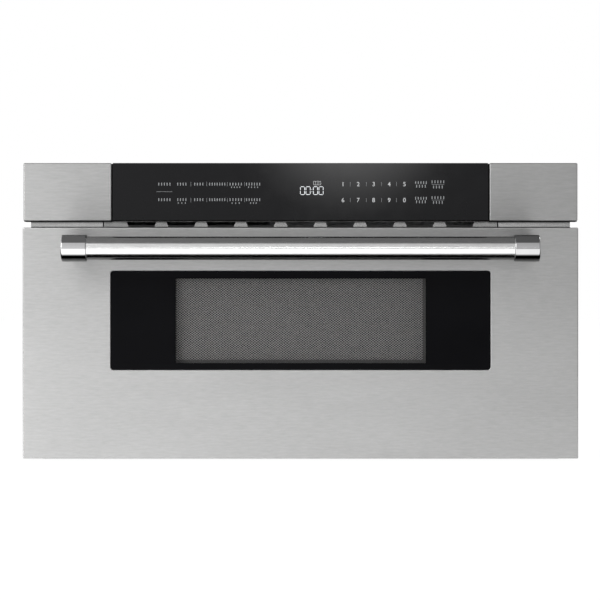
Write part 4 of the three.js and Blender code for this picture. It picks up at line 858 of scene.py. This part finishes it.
TRAY_LAP = 2.5  # how far the liner's wall reaches over the floor, in radii of its foot
PAN_LAP = 1 * MM  # the floor's plate under that
PAN_CORNER = 2 * MM
PAN_INSET = 0.1  # that plate inside the wall's faces, in thicknesses of the sheet
RIM_LEAN = 0.2  # how far the rim's roll leans over the wall, in radii of the roll
CORNER_STEPS = 8


def build_tray(looks):
    """The tray's liner: a wall section with a rounded foot and a rolled rim, carried along a
    path in plan that runs back on the left, round two rounded corners and forward on the
    right. A point of the section at distance d inboard lies at the path's arc centre plus
    (radius - d) * (cos a, sin a). The section crosses itself 0.9 mm below the rim, and the
    wall's recalculated normals point inward."""
    left_wall, back_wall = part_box("tray_left_wall"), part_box("tray_back_wall")
    half_x = -left_wall[0].x
    front, back = left_wall[0].y, back_wall[1].y
    floor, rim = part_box("tray_floor")[1].z, back_wall[1].z
    fillet, corner, sheet, roll = looks.tray_fillet, looks.tray_corner, looks.tray_sheet, looks.tray_roll
    lean, foot = roll * RIM_LEAN, sheet + fillet * TRAY_LAP
    section = np.concatenate([
        [(foot, floor)],
        arc((sheet + fillet, floor + fillet), fillet, 270, 180, 6),
        arc((sheet + lean, rim - roll - lean), roll + lean, 180, 90, 3)[1:],
        [(0.0, rim - sheet), (0.0, floor - sheet), (foot, floor - sheet)],
    ])
    turn = np.radians([180, *np.linspace(180, 90, CORNER_STEPS + 1)])
    centre_x = np.full(len(turn), corner - half_x)
    centre_y = np.array([front, *[back - corner] * (CORNER_STEPS + 1)])
    centre_x = np.concatenate([centre_x, -centre_x[::-1]])
    turn = np.concatenate([turn, np.pi - turn[::-1]])
    centre_y = np.concatenate([centre_y, centre_y[::-1]])
    inboard, height = section.T
    x = centre_x[:, None] + (corner - inboard) * np.cos(turn)[:, None]
    y = centre_y[:, None] + (corner - inboard) * np.sin(turn)[:, None]
    wall = woven(np.stack([x, y, np.broadcast_to(height, x.shape)], 2), caps=(True, True))
    inner, skin = foot - PAN_LAP, sheet * PAN_INSET
    pan = plan_plate(half_x - inner, front, back - inner, floor - sheet + skin, floor - skin)
    piece("tray_liner", [wall, pan], "drawer", "enamelled_steel",
          replaces=("tray_floor", "tray_left_wall", "tray_right_wall", "tray_back_wall"))


def build_ceramic(looks):
    """The ceramic plate on the tray's floor, with a rounded upper edge and rounded corners."""
    low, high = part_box("ceramic_base_plate")
    edge = looks.ceramic_edge
    profile = [(0.0, low.z), *arc((edge, high.z - edge), edge, 180, 90, 5)]
    middle = (0.0, (high.y + low.y) / 2)
    rings = carried(profile, high.x, (high.y - low.y) / 2, looks.ceramic_corner, middle)
    slab = woven(rings[:, :, [0, 2, 1]], caps=(True, True))
    piece("ceramic_plate", [slab], "drawer", "ceramic", replaces=("ceramic_base_plate",))


SCREW_SIZE = (2.0 * MM, 3.6 * MM)  # height and radius of a head
# A head's section, in shares of its height and its radius, from a little inside the panel
SCREW_SECTION = (
    (-0.05, 0.0), (-0.05, 1.0), (0.35, 1.0), (0.85, 0.8), (1.0, 0.5), (1.0, 0.28), (0.35, 0.2), (0.35, 0.0),
)
SCREW_SIDES = 20
SIDE_SCREWS = 4
REAR_SCREWS = 6


def screw(place, axis, side):
    """A pan head with a round dimple in its middle: a revolved dome, square to a panel."""
    height, radius = SCREW_SIZE
    profile = np.array(SCREW_SECTION) * (side * height, radius)
    return woven(revolved(profile, axis, place, SCREW_SIDES))


def build_screws(looks):
    """Screws along the casing's seams: down both sides, round the rear panel and on the top."""
    low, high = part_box("right_side_panel")
    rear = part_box("rear_panel")[1]
    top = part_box("top_cover")[1].z
    inset = looks.screw_inset
    parts = []
    for y in np.linspace(low.y + 3 * inset, high.y - 3 * inset, SIDE_SCREWS):
        for side in (-1, 1):
            parts.append(screw((side * (high.x - inset), y, top), "Z", 1))
            parts += [screw((side * high.x, y, z), "X", side) for z in (low.z + inset, high.z - inset)]
    for x in np.linspace(2 * inset - rear.x, rear.x - 2 * inset, REAR_SCREWS):
        parts += [screw((x, rear.y, z), "Y", 1) for z in (low.z + 1.5 * inset, high.z - 1.5 * inset)]
    piece("casing_screws", parts, "chassis", "zinc_plated_steel")


# ---------------------------------------------------------------- stage

AIM = Vector((0.0, 0.0, 0.2))  # where the lamps point, level with the unit's middle
SECOND_BOUNCE = 1.5  # glossy depths over this are seen by way of a second piece of metal
DARK_EDGE = 0.96  # where the near floor starts to be seen dark, as a share of that height
SLANT_FLOOR = 1.5  # metres left and right over which the floor's slant runs
SLANT_SKY = 0.4  # the same for the sky, as a part of the direction
GLOW_CORE = 0.2  # full glow, as a share of its reach


def build_stage(looks):
    """Floor, world, lamps and the camera at the photograph's place."""
    scene = bpy.context.scene
    scene.view_settings.view_transform = "Standard"
    half = looks.floor_size / 2
    mesh = bpy.data.meshes.new("studio_floor")
    corners = [(-half, -half), (half, -half), (half, half), (-half, half)]
    mesh.from_pydata([(x, y, -looks.floor_drop) for x, y in corners], [], [(0, 1, 2, 3)])
    floor = bpy.data.objects.new("studio_floor", mesh)
    scene.collection.objects.link(floor)
    floor.data.materials.append(floor_finish(looks))
    world_light(looks)
    ahead = AIM + Vector((0.0, FRONT_LOW.y, 0.0))
    for name, place, size, power, aim in (
        ("key_lamp", looks.key_place, looks.key_size, looks.key_power, ahead),
        ("fill_lamp", looks.fill_place, looks.fill_size, looks.fill_power, AIM),
    ):
        lamp = bpy.data.lights.new(name, "AREA")
        lamp.size = size
        lamp.energy = power
        holder = bpy.data.objects.new(name, lamp)
        holder.location = place
        holder.rotation_euler = (aim - Vector(place)).to_track_quat("-Z", "Y").to_euler()
        holder.visible_camera = False
        scene.collection.objects.link(holder)

    camera = bpy.data.cameras.new("camera")
    camera.sensor_width = looks.sensor / MM
    camera.lens = camera.sensor_width * looks.camera_distance / (PHOTO_WIDTH * PIXEL)
    camera.clip_end = 100.0
    holder = bpy.data.objects.new("camera", camera)
    middle = PHOTO_WIDTH / 2
    holder.location = (photo_x(middle), FRONT_LOW.y - looks.camera_distance, photo_z(middle))
    holder.rotation_euler = (math.pi / 2, 0.0, 0.0)
    scene.collection.objects.link(holder)
    scene.camera = holder


def node_helpers(nodes, links):
    """Two short calls that add a piece of arithmetic and a smooth ramp to a node tree."""

    def math_node(operation, *values):
        node = nodes.new("ShaderNodeMath")
        node.operation = operation
        for socket, value in zip(node.inputs, values):
            if isinstance(value, (int, float)):
                socket.default_value = value
            else:
                links.new(value, socket)
        return node.outputs[0]

    def ramp(value, start, end, low, high):
        node = nodes.new("ShaderNodeMapRange")
        node.interpolation_type = "SMOOTHSTEP"
        for socket, number in zip(RANGE_SOCKETS, (start, end, low, high)):
            node.inputs[socket].default_value = number
        links.new(value, node.inputs["Value"])
        return node.outputs["Result"]

    return math_node, ramp


def floor_finish(looks):
    """A pale floor: mostly its own white for the camera, which leaves a soft shadow, and pale
    paint for light. Metal sees it bright, darker on the right than on the left, and dark
    close in front of the unit where the handle, from its height, looks straight down on it.
    By way of a second piece of metal the far floor is dimmer, and the near floor the other
    way about: dark from low down, and bright from the handle's height."""
    material = bpy.data.materials.new("studio_floor")
    material.use_nodes = True
    nodes, links = material.node_tree.nodes, material.node_tree.links
    nodes.clear()
    math_node, ramp = node_helpers(nodes, links)
    place = nodes.new("ShaderNodeSeparateXYZ")
    links.new(nodes.new("ShaderNodeTexCoord").outputs["Object"], place.inputs[0])
    ahead = math_node("SUBTRACT", CAD_BOX[0].y, place.outputs["Y"])
    path = nodes.new("ShaderNodeLightPath").outputs
    camera, glossy = path["Is Camera Ray"], path["Is Glossy Ray"]
    from_above = ramp(path["Ray Length"], DARK_EDGE * looks.dark_from, looks.dark_from, 0.0, 1.0)
    again = math_node("GREATER_THAN", path["Glossy Depth"], SECOND_BOUNCE)
    dark = math_node("ABSOLUTE", math_node("SUBTRACT", from_above, again))
    close = ramp(ahead, looks.floor_near, looks.floor_far, 1.0, 0.0)
    near = math_node("MULTIPLY", math_node("MULTIPLY", close, 1.0 - looks.below), dark)
    bright = ramp(ahead, looks.fade_from, 2 * looks.fade_from, looks.floor_mirrored, looks.floor_distant)
    slant = ramp(place.outputs["X"], -SLANT_FLOOR, SLANT_FLOOR, 1.0 + looks.slant, 1.0 - looks.slant)
    far = math_node("SUBTRACT", 1.0, close)
    dimmed = math_node("MULTIPLY", math_node("MULTIPLY", again, 1.0 - looks.second_look), far)
    mirrored = math_node("MULTIPLY", bright, math_node("SUBTRACT", 1.0, dimmed))
    mirrored = math_node("MULTIPLY", mirrored, math_node("SUBTRACT", 1.0, near))
    seen = math_node("MULTIPLY", glossy, math_node("MULTIPLY", mirrored, slant))
    own = math_node("ADD", seen, math_node("MULTIPLY", camera, looks.floor_white))
    glow = nodes.new("ShaderNodeEmission")
    links.new(own, glow.inputs["Strength"])
    paint = nodes.new("ShaderNodeBsdfDiffuse")
    paint.inputs["Color"].default_value = (*looks.floor_colour, 1.0)
    mix = nodes.new("ShaderNodeMixShader")
    share = math_node("ADD", math_node("MULTIPLY", camera, looks.floor_glow), glossy)
    for socket, source in zip(mix.inputs, (share, paint.outputs[0], glow.outputs[0])):
        links.new(source, socket)
    links.new(mix.outputs[0], nodes.new("ShaderNodeOutputMaterial").inputs["Surface"])
    return material


def world_light(looks):
    """White for the camera. Metal and glass see a bright band over the horizon with grey
    above it, worked out from the sine of the elevation, and one small soft glow in front.
    All of it is darker where it's seen by way of a second piece of metal."""
    world = bpy.data.worlds.new("studio")
    bpy.context.scene.world = world
    world.use_nodes = True
    nodes, links = world.node_tree.nodes, world.node_tree.links
    nodes.clear()
    math_node, ramp = node_helpers(nodes, links)
    coordinate = nodes.new("ShaderNodeTexCoord").outputs["Generated"]
    direction = nodes.new("ShaderNodeSeparateXYZ")
    links.new(coordinate, direction.inputs[0])
    height, across = direction.outputs["Z"], direction.outputs["X"]
    top, soft = math.sin(looks.band_top), looks.band_edge
    band = math_node("MULTIPLY", ramp(height, 0.0, top, looks.band, looks.band_high),
                     ramp(height, top - soft, top + soft, 1.0, looks.above))
    slant = ramp(across, -SLANT_SKY, SLANT_SKY, 1.0 + looks.slant, 1.0 - looks.slant)
    away = nodes.new("ShaderNodeVectorMath")
    away.operation = "DISTANCE"
    links.new(coordinate, away.inputs[0])
    away.inputs[1].default_value = Vector(looks.glow_aim).normalized()
    reach = looks.glow_width
    glow = ramp(away.outputs["Value"], reach, GLOW_CORE * reach, 0.0, looks.glow)
    path = nodes.new("ShaderNodeLightPath").outputs
    again = ramp(path["Glossy Depth"], 1.0, 2.0, 1.0, looks.second_look)
    seen = math_node("MULTIPLY", math_node("ADD", math_node("MULTIPLY", band, slant), glow), again)
    shown = math_node("MAXIMUM", path["Is Camera Ray"], path["Is Transmission Ray"])
    glossy = nodes.new("ShaderNodeMix")
    glossy.inputs[2].default_value = looks.ambient
    strength = nodes.new("ShaderNodeMix")
    strength.inputs[3].default_value = 1.0
    sky = nodes.new("ShaderNodeBackground")
    sky.inputs["Color"].default_value = (1.0, 1.0, 1.0, 1.0)
    out = nodes.new("ShaderNodeOutputWorld")
    for source, socket in (
        (path["Is Glossy Ray"], glossy.inputs[0]), (seen, glossy.inputs[3]),
        (shown, strength.inputs[0]), (glossy.outputs[0], strength.inputs[2]),
        (strength.outputs[0], sky.inputs["Strength"]), (sky.outputs[0], out.inputs["Surface"]),
    ):
        links.new(source, socket)


# ---------------------------------------------------------------- sizes and colours


def length(name, description, millimetres):
    return number(name, description, millimetres * MM, min=0.0, unit="LENGTH", precision=5)


def colour(name, description, default):
    return FloatVectorProperty(name=name, description=description, default=default, subtype="COLOR",
                               min=0.0, max=1.0)


def factor(name, description, default):
    return number(name, description, default, min=0.0, max=1.0, subtype="FACTOR")


def number(name, description, default, **more):
    return FloatProperty(name=name, description=description, default=default, **more)


def place(name, description, default, subtype="TRANSLATION"):
    return FloatVectorProperty(name=name, description=description, default=default, subtype=subtype)


class DrawerFinish(PropertyGroup):
    steel: colour("Steel", "Colour of the brushed sheet steel", (0.452, 0.452, 0.450))
    panel: colour("Panels", "Colour of the end panels' steel", (0.42, 0.42, 0.418))
    frame: colour("Frame", "Colour of the frame behind the rows", (0.38, 0.38, 0.378))
    grille: colour("Grille", "Colour of the vent grille", (0.27, 0.27, 0.268))
    steel_polish: factor("Steel roughness", "Roughness of the brushed sheet steel", 0.42)
    steel_spread: factor("Steel spread", "How far highlights are drawn out across the brushing", 0.88)
    # Painted light on the drawer front's folds: a painted highlight on the upper folds, painted shade on
    # the lower folds and top faces
    painted_fold_highlight: number("Fold shine", "Colour of the front's upper folds over its face's", 2.2, min=0.0)
    painted_fold_shade: factor("Fold shade", "Colour of the front's lower folds over its face's", 0.7)
    painted_top_shade: factor("Top shade", "Colour of the front's top faces over its upper folds'", 0.25)
    handle: colour("Handle", "Colour of the bar", (0.72, 0.72, 0.72))
    chrome: colour("Chrome", "Colour of the end caps and posts", (0.53, 0.53, 0.535))
    glass: colour("Glass", "Colour of the black glass", (0.005, 0.005, 0.006))
    screen: colour("Screen", "Colour of the perforated screen", (0.60, 0.60, 0.595))
    screen_border: colour("Screen border", "Colour of the screen's plain border", (0.12, 0.12, 0.12))
    window_alpha: factor("Window darkness", "How much of the light the window stops", 0.15)
    window_gloss: factor("Window gloss", "Reflection of the window glass", 0.20)
    border_gloss: factor("Border gloss", "Reflection of the window glass's black border", 0.035)
    control_gloss: factor("Control gloss", "Reflection of the control glass", 0.20)
    marks: colour("Marks", "Colour of the printed marks", (0.34, 0.35, 0.36))
    digits: colour("Digits", "Colour of the printed digits", (0.70, 0.71, 0.72))
    clock: colour("Clock", "Colour of the clock's digits", (0.64, 0.66, 0.68))
    # The printed marks and digits are no lamp: their glow is painted light
    painted_mark_glow: factor("Mark glow", "Light that the printed marks give back", 0.02)
    clock_glow: factor("Clock glow", "Light of the clock's digits", 0.8)


class DrawerShapes(PropertyGroup):
    sheet: length("Sheet", "Thickness of the folded steel", 1.2)
    bend: length("Bend", "Outer radius of the folds", 1.6)
    corner: length("Corner", "Radius of the drawer front's corners, seen from the front", 1.4)
    panel_corner: length("Panel corner", "Radius of the end panels' corners", 1.6)
    return_lip: length("Return lip", "Width of the lips folded in behind the drawer front", 12.0)
    window_gap: length("Window gap", "Room round the window glass", 0.5)
    window_corner: length("Window corner", "Radius of the window glass's corners", 3.5)
    view_corner: length("View corner", "Radius of the clear part's corners", 0.5)
    view_seam: length("View seam", "Clear part to the black border", 0.02)
    rim_depth: length("Rim depth", "Depth of the rim turned in round the window", 5.0)
    lip: length("Rim edge", "Radius of the rim's front edge", 1.0)
    glass_edge: length("Glass edge", "Radius of the ground edges of the glass", 0.6)
    glass_corner: length("Glass corner", "Radius of the control glass's corners", 1.0)
    print_gap: length("Print gap", "Window glass to the black border behind it", 0.15)
    print_depth: length("Print depth", "Thickness of the black border", 0.3)
    print_lift: length("Print lift", "Marks in front of the control glass", 0.03)
    # Seal and seal inset also size the dark strips under the end panels, which are painted shade
    seal: length("Seal", "Thickness of the rubber strips", 1.0)
    seal_inset: length("Seal inset", "Strips inside the edges of the panels", 0.8)
    seal_rise: length("Seal rise", "Top strip above the drawer front", 1.7)
    glass_foot: length("Glass foot", "Height of the strip along the control glass's foot", 1.4)
    foot_drop: length("Foot drop", "Foot strip below the glass's lower edge", 0.5)
    foot_proud: length("Foot strip", "Thickness of that strip, ahead of the glass", 0.1)
    joint: length("Joint", "Width of the dark joint at the grille's ends", 1.5)
    cut_edge: length("Cut edge", "Width of the bright edge beside the joint", 1.0)
    vents: IntProperty(name="Vents", description="Number of vents in the grille", default=9, min=1)
    vent_pitch: length("Vent pitch", "Distance from vent to vent", 55.0)
    flange: length("Flange", "Height of the grille's upper flange", 0.9)
    louvre: length("Louvre", "Width of the dark lip below each vent", 36.3)
    louvre_low: length("Louvre foot", "Height of the lips' lower edge", 319.8)
    louvre_rise: length("Louvre rise", "Height of the lips", 3.4)


class ScreenShapes(PropertyGroup):
    repeat_x: length("Repeat across", "Width of the holes' repeat", 4.23)
    repeat_z: length("Repeat up", "Height of the holes' repeat", 3.28)
    hole: length("Hole", "Diameter of a hole", 2.76)
    border_right: length("Right border", "Plain strip right of the holes", 2.0)
    border_bottom: length("Lower border", "Plain strip below the holes", 2.6)
    border_lap: length("Border lap", "Border over the outermost holes", 0.6)
    sheet_inset: length("Sheet inset", "Perforated sheet inside the border's faces", 0.1)
    view_left: number("View left", "Screen's left edge in the photograph", 175.6, subtype="PIXEL")
    view_right: number("View right", "Screen's right edge in the photograph", 425.9, subtype="PIXEL")
    view_top: number("View top", "Screen's upper edge in the photograph", 278.5, subtype="PIXEL")
    view_bottom: number("View bottom", "Screen's lower edge in the photograph", 363.2, subtype="PIXEL")


class HandleShapes(PropertyGroup):
    bar_lip: length("Bar lip", "Rounding of the bar's ends", 1.0)
    cap_length: length("Cap length", "Length of an end cap", 33.9)
    cap_inboard: length("Cap inboard", "Cap's open edge inboard of its post's axis", 17.6)
    cap_radius: length("Cap radius", "Radius of an end cap", 18.0)
    cap_mouth: length("Cap mouth", "Rounding of the cap's open edge", 1.15)
    cap_tip: length("Cap tip", "Rounding of the cap's closed end", 2.0)
    cap_gap: length("Cap gap", "Room between the bar and the cap", 0.3)
    post_diameter: length("Post", "Diameter of a post", 26.0)
    foot_diameter: length("Foot", "Diameter of a post's foot", 34.0)
    foot_thickness: length("Foot thickness", "Thickness of a post's foot", 4.0)
    foot_edge: length("Foot edge", "Rounding of the foot and its fillet", 1.2)


class InsideShapes(PropertyGroup):
    tray_sheet: length("Tray sheet", "Thickness of the tray's wall", 1.3)
    tray_fillet: length("Tray fillet", "Radius between the tray's floor and walls", 6.0)
    tray_corner: length("Tray corner", "Radius of the tray's rear corners", 24.0)
    tray_roll: length("Tray rim", "Rounding of the tray's rim", 1.0)
    ceramic_edge: length("Ceramic edge", "Rounding of the ceramic plate's edge", 1.6)
    ceramic_corner: length("Ceramic corner", "Radius of the ceramic plate's corners", 14.0)
    screw_inset: length("Screw inset", "Screws inside the casing's edges", 8.0)


class StageSettings(PropertyGroup):
    floor_size: length("Floor", "Length of the floor's sides", 40000.0)
    floor_drop: length("Floor drop", "Floor below the unit's underside", 0.2)
    floor_colour: colour("Floor colour", "Colour of the floor", (0.80, 0.80, 0.80))
    floor_glow: factor("Floor share", "Share of the floor's own white that the camera sees", 0.85)
    floor_white: number("Floor white", "Strength of the floor's own white", 1.10)
    camera_distance: length("Camera distance", "Camera ahead of the drawer front", 3000.0)
    sensor: length("Sensor", "Width of the camera's sensor", 36.0)
    key_place: place("Key lamp", "Place of the key lamp", (-1.5, -2.0, 1.2))
    key_size: length("Key size", "Width of the key lamp", 1400.0)
    key_power: number("Key power", "Power of the key lamp", 26.0, subtype="POWER")
    fill_place: place("Fill lamp", "Place of the fill lamp", (1.6, 1.6, 1.8))
    fill_size: length("Fill size", "Width of the fill lamp", 1600.0)
    fill_power: number("Fill power", "Power of the fill lamp", 20.0, subtype="POWER")
    ambient: factor("Ambient", "Light from all round on matt surfaces", 0.6)
    band: number("Band", "Brightness that metal sees at the horizon", 0.9)
    band_high: number("Band top edge", "Brightness at the band's top", 0.75)
    band_top: number("Band top", "Band's upper elevation", math.radians(46), subtype="ANGLE")
    band_edge: number("Band edge", "Softness of the band's top", 0.04)
    above: factor("Above", "Brightness above the band, as a share of it", 0.22)
    second_look: factor("Second look", "Brightness of the surroundings by way of two pieces of metal", 0.25)
    slant: factor("Slant", "How much brighter the left is than the right", 0.38)
    floor_mirrored: number("Floor in metal", "Floor's brightness in metal", 1.8)
    floor_distant: number("Distant floor", "Floor's brightness in metal, far away", 0.8)
    fade_from: length("Fade from", "Where the floor starts to fade in metal", 1600.0)
    floor_near: length("Dark floor", "Where the floor below the handle starts to brighten", 90.0)
    floor_far: length("Bright floor", "Where the floor ahead of the handle is bright", 240.0)
    dark_from: length("Dark from", "Height from which the near floor is seen dark", 272.0)
    below: factor("Below", "Brightness of the near floor, as a share of the floor's", 0.0)
    glow: number("Glow", "Brightness of the soft glow in front", 6.0)
    glow_aim: place("Glow aim", "Direction of the glow", (0.023, -1.0, 0.09), "XYZ")
    glow_width: number("Glow width", "Reach of the glow, as a chord", 0.056)


GROUPS = {
    "drawer_finish": DrawerFinish,
    "drawer_shapes": DrawerShapes,
    "drawer_screen": ScreenShapes,
    "drawer_handle": HandleShapes,
    "drawer_inside": InsideShapes,
    "drawer_stage": StageSettings,
}

# ---------------------------------------------------------------- operators


class DRAWER_OT_finishes(Operator):
    """Make the materials and give every fixed part its own"""

    bl_idname = "drawer.finishes"
    bl_label = "Finish Parts"

    def execute(self, context):
        make_finishes()
        dress_parts()
        return {"FINISHED"}


class DRAWER_OT_front(Operator):
    """Fold the drawer front's skin round its window"""

    bl_idname = "drawer.front"
    bl_label = "Drawer Front"

    def execute(self, context):
        build_drawer_front(context.scene.drawer_shapes)
        return {"FINISHED"}


class DRAWER_OT_window(Operator):
    """Build the window glass, its black border and the perforated screen behind it"""

    bl_idname = "drawer.window"
    bl_label = "Window and Screen"

    def execute(self, context):
        build_screen(context.scene.drawer_screen)
        build_window(context.scene.drawer_shapes, screen_view(context.scene.drawer_screen))
        return {"FINISHED"}


class DRAWER_OT_handle(Operator):
    """Turn the handle's bar, end caps, posts and feet"""

    bl_idname = "drawer.handle"
    bl_label = "Handle"

    def execute(self, context):
        build_handle(context.scene.drawer_handle)
        return {"FINISHED"}


class DRAWER_OT_control_row(Operator):
    """Build the control glass, its marks and clock, and the end panels beside it"""

    bl_idname = "drawer.control_row"
    bl_label = "Control Row"

    def execute(self, context):
        shapes = context.scene.drawer_shapes
        build_end_panels(shapes)
        build_control_glass(shapes)
        build_marks(shapes)
        build_seals(shapes)
        return {"FINISHED"}


class DRAWER_OT_inside(Operator):
    """Press the tray's liner and its ceramic plate, and set the casing's screws"""

    bl_idname = "drawer.inside"
    bl_label = "Tray and Casing"

    def execute(self, context):
        inside = context.scene.drawer_inside
        build_tray(inside)
        build_ceramic(inside)
        build_screws(inside)
        return {"FINISHED"}


class DRAWER_OT_stage(Operator):
    """Lay the floor and set the light and the camera"""

    bl_idname = "drawer.stage"
    bl_label = "Stage"

    def execute(self, context):
        build_stage(context.scene.drawer_stage)
        return {"FINISHED"}


OPERATORS = (
    DRAWER_OT_stage,
    DRAWER_OT_finishes,
    DRAWER_OT_front,
    DRAWER_OT_window,
    DRAWER_OT_handle,
    DRAWER_OT_control_row,
    DRAWER_OT_inside,
)


class DRAWER_PT_looks(Panel):
    """The steps that build the drawer's looks, and their settings"""

    bl_label = "Microwave Drawer"
    bl_idname = "DRAWER_PT_looks"
    bl_space_type = "VIEW_3D"
    bl_region_type = "UI"
    bl_category = "Drawer"

    def draw(self, context):
        for operator in OPERATORS:
            self.layout.operator(operator.bl_idname)
        for name, group in GROUPS.items():
            box = self.layout.box()
            settings = getattr(context.scene, name)
            for key in group.__annotations__:
                box.prop(settings, key)


CLASSES = (*GROUPS.values(), *OPERATORS, DRAWER_PT_looks)


def register():
    for item in CLASSES:
        bpy.utils.register_class(item)
    for name, group in GROUPS.items():
        setattr(bpy.types.Scene, name, PointerProperty(type=group))


def unregister():
    for name in GROUPS:
        delattr(bpy.types.Scene, name)
    for item in reversed(CLASSES):
        bpy.utils.unregister_class(item)


def main():
    register()
    for operator in OPERATORS:
        group, name = operator.bl_idname.split(".")
        getattr(getattr(bpy.ops, group), name)()


if __name__ == "__main__":
    main()
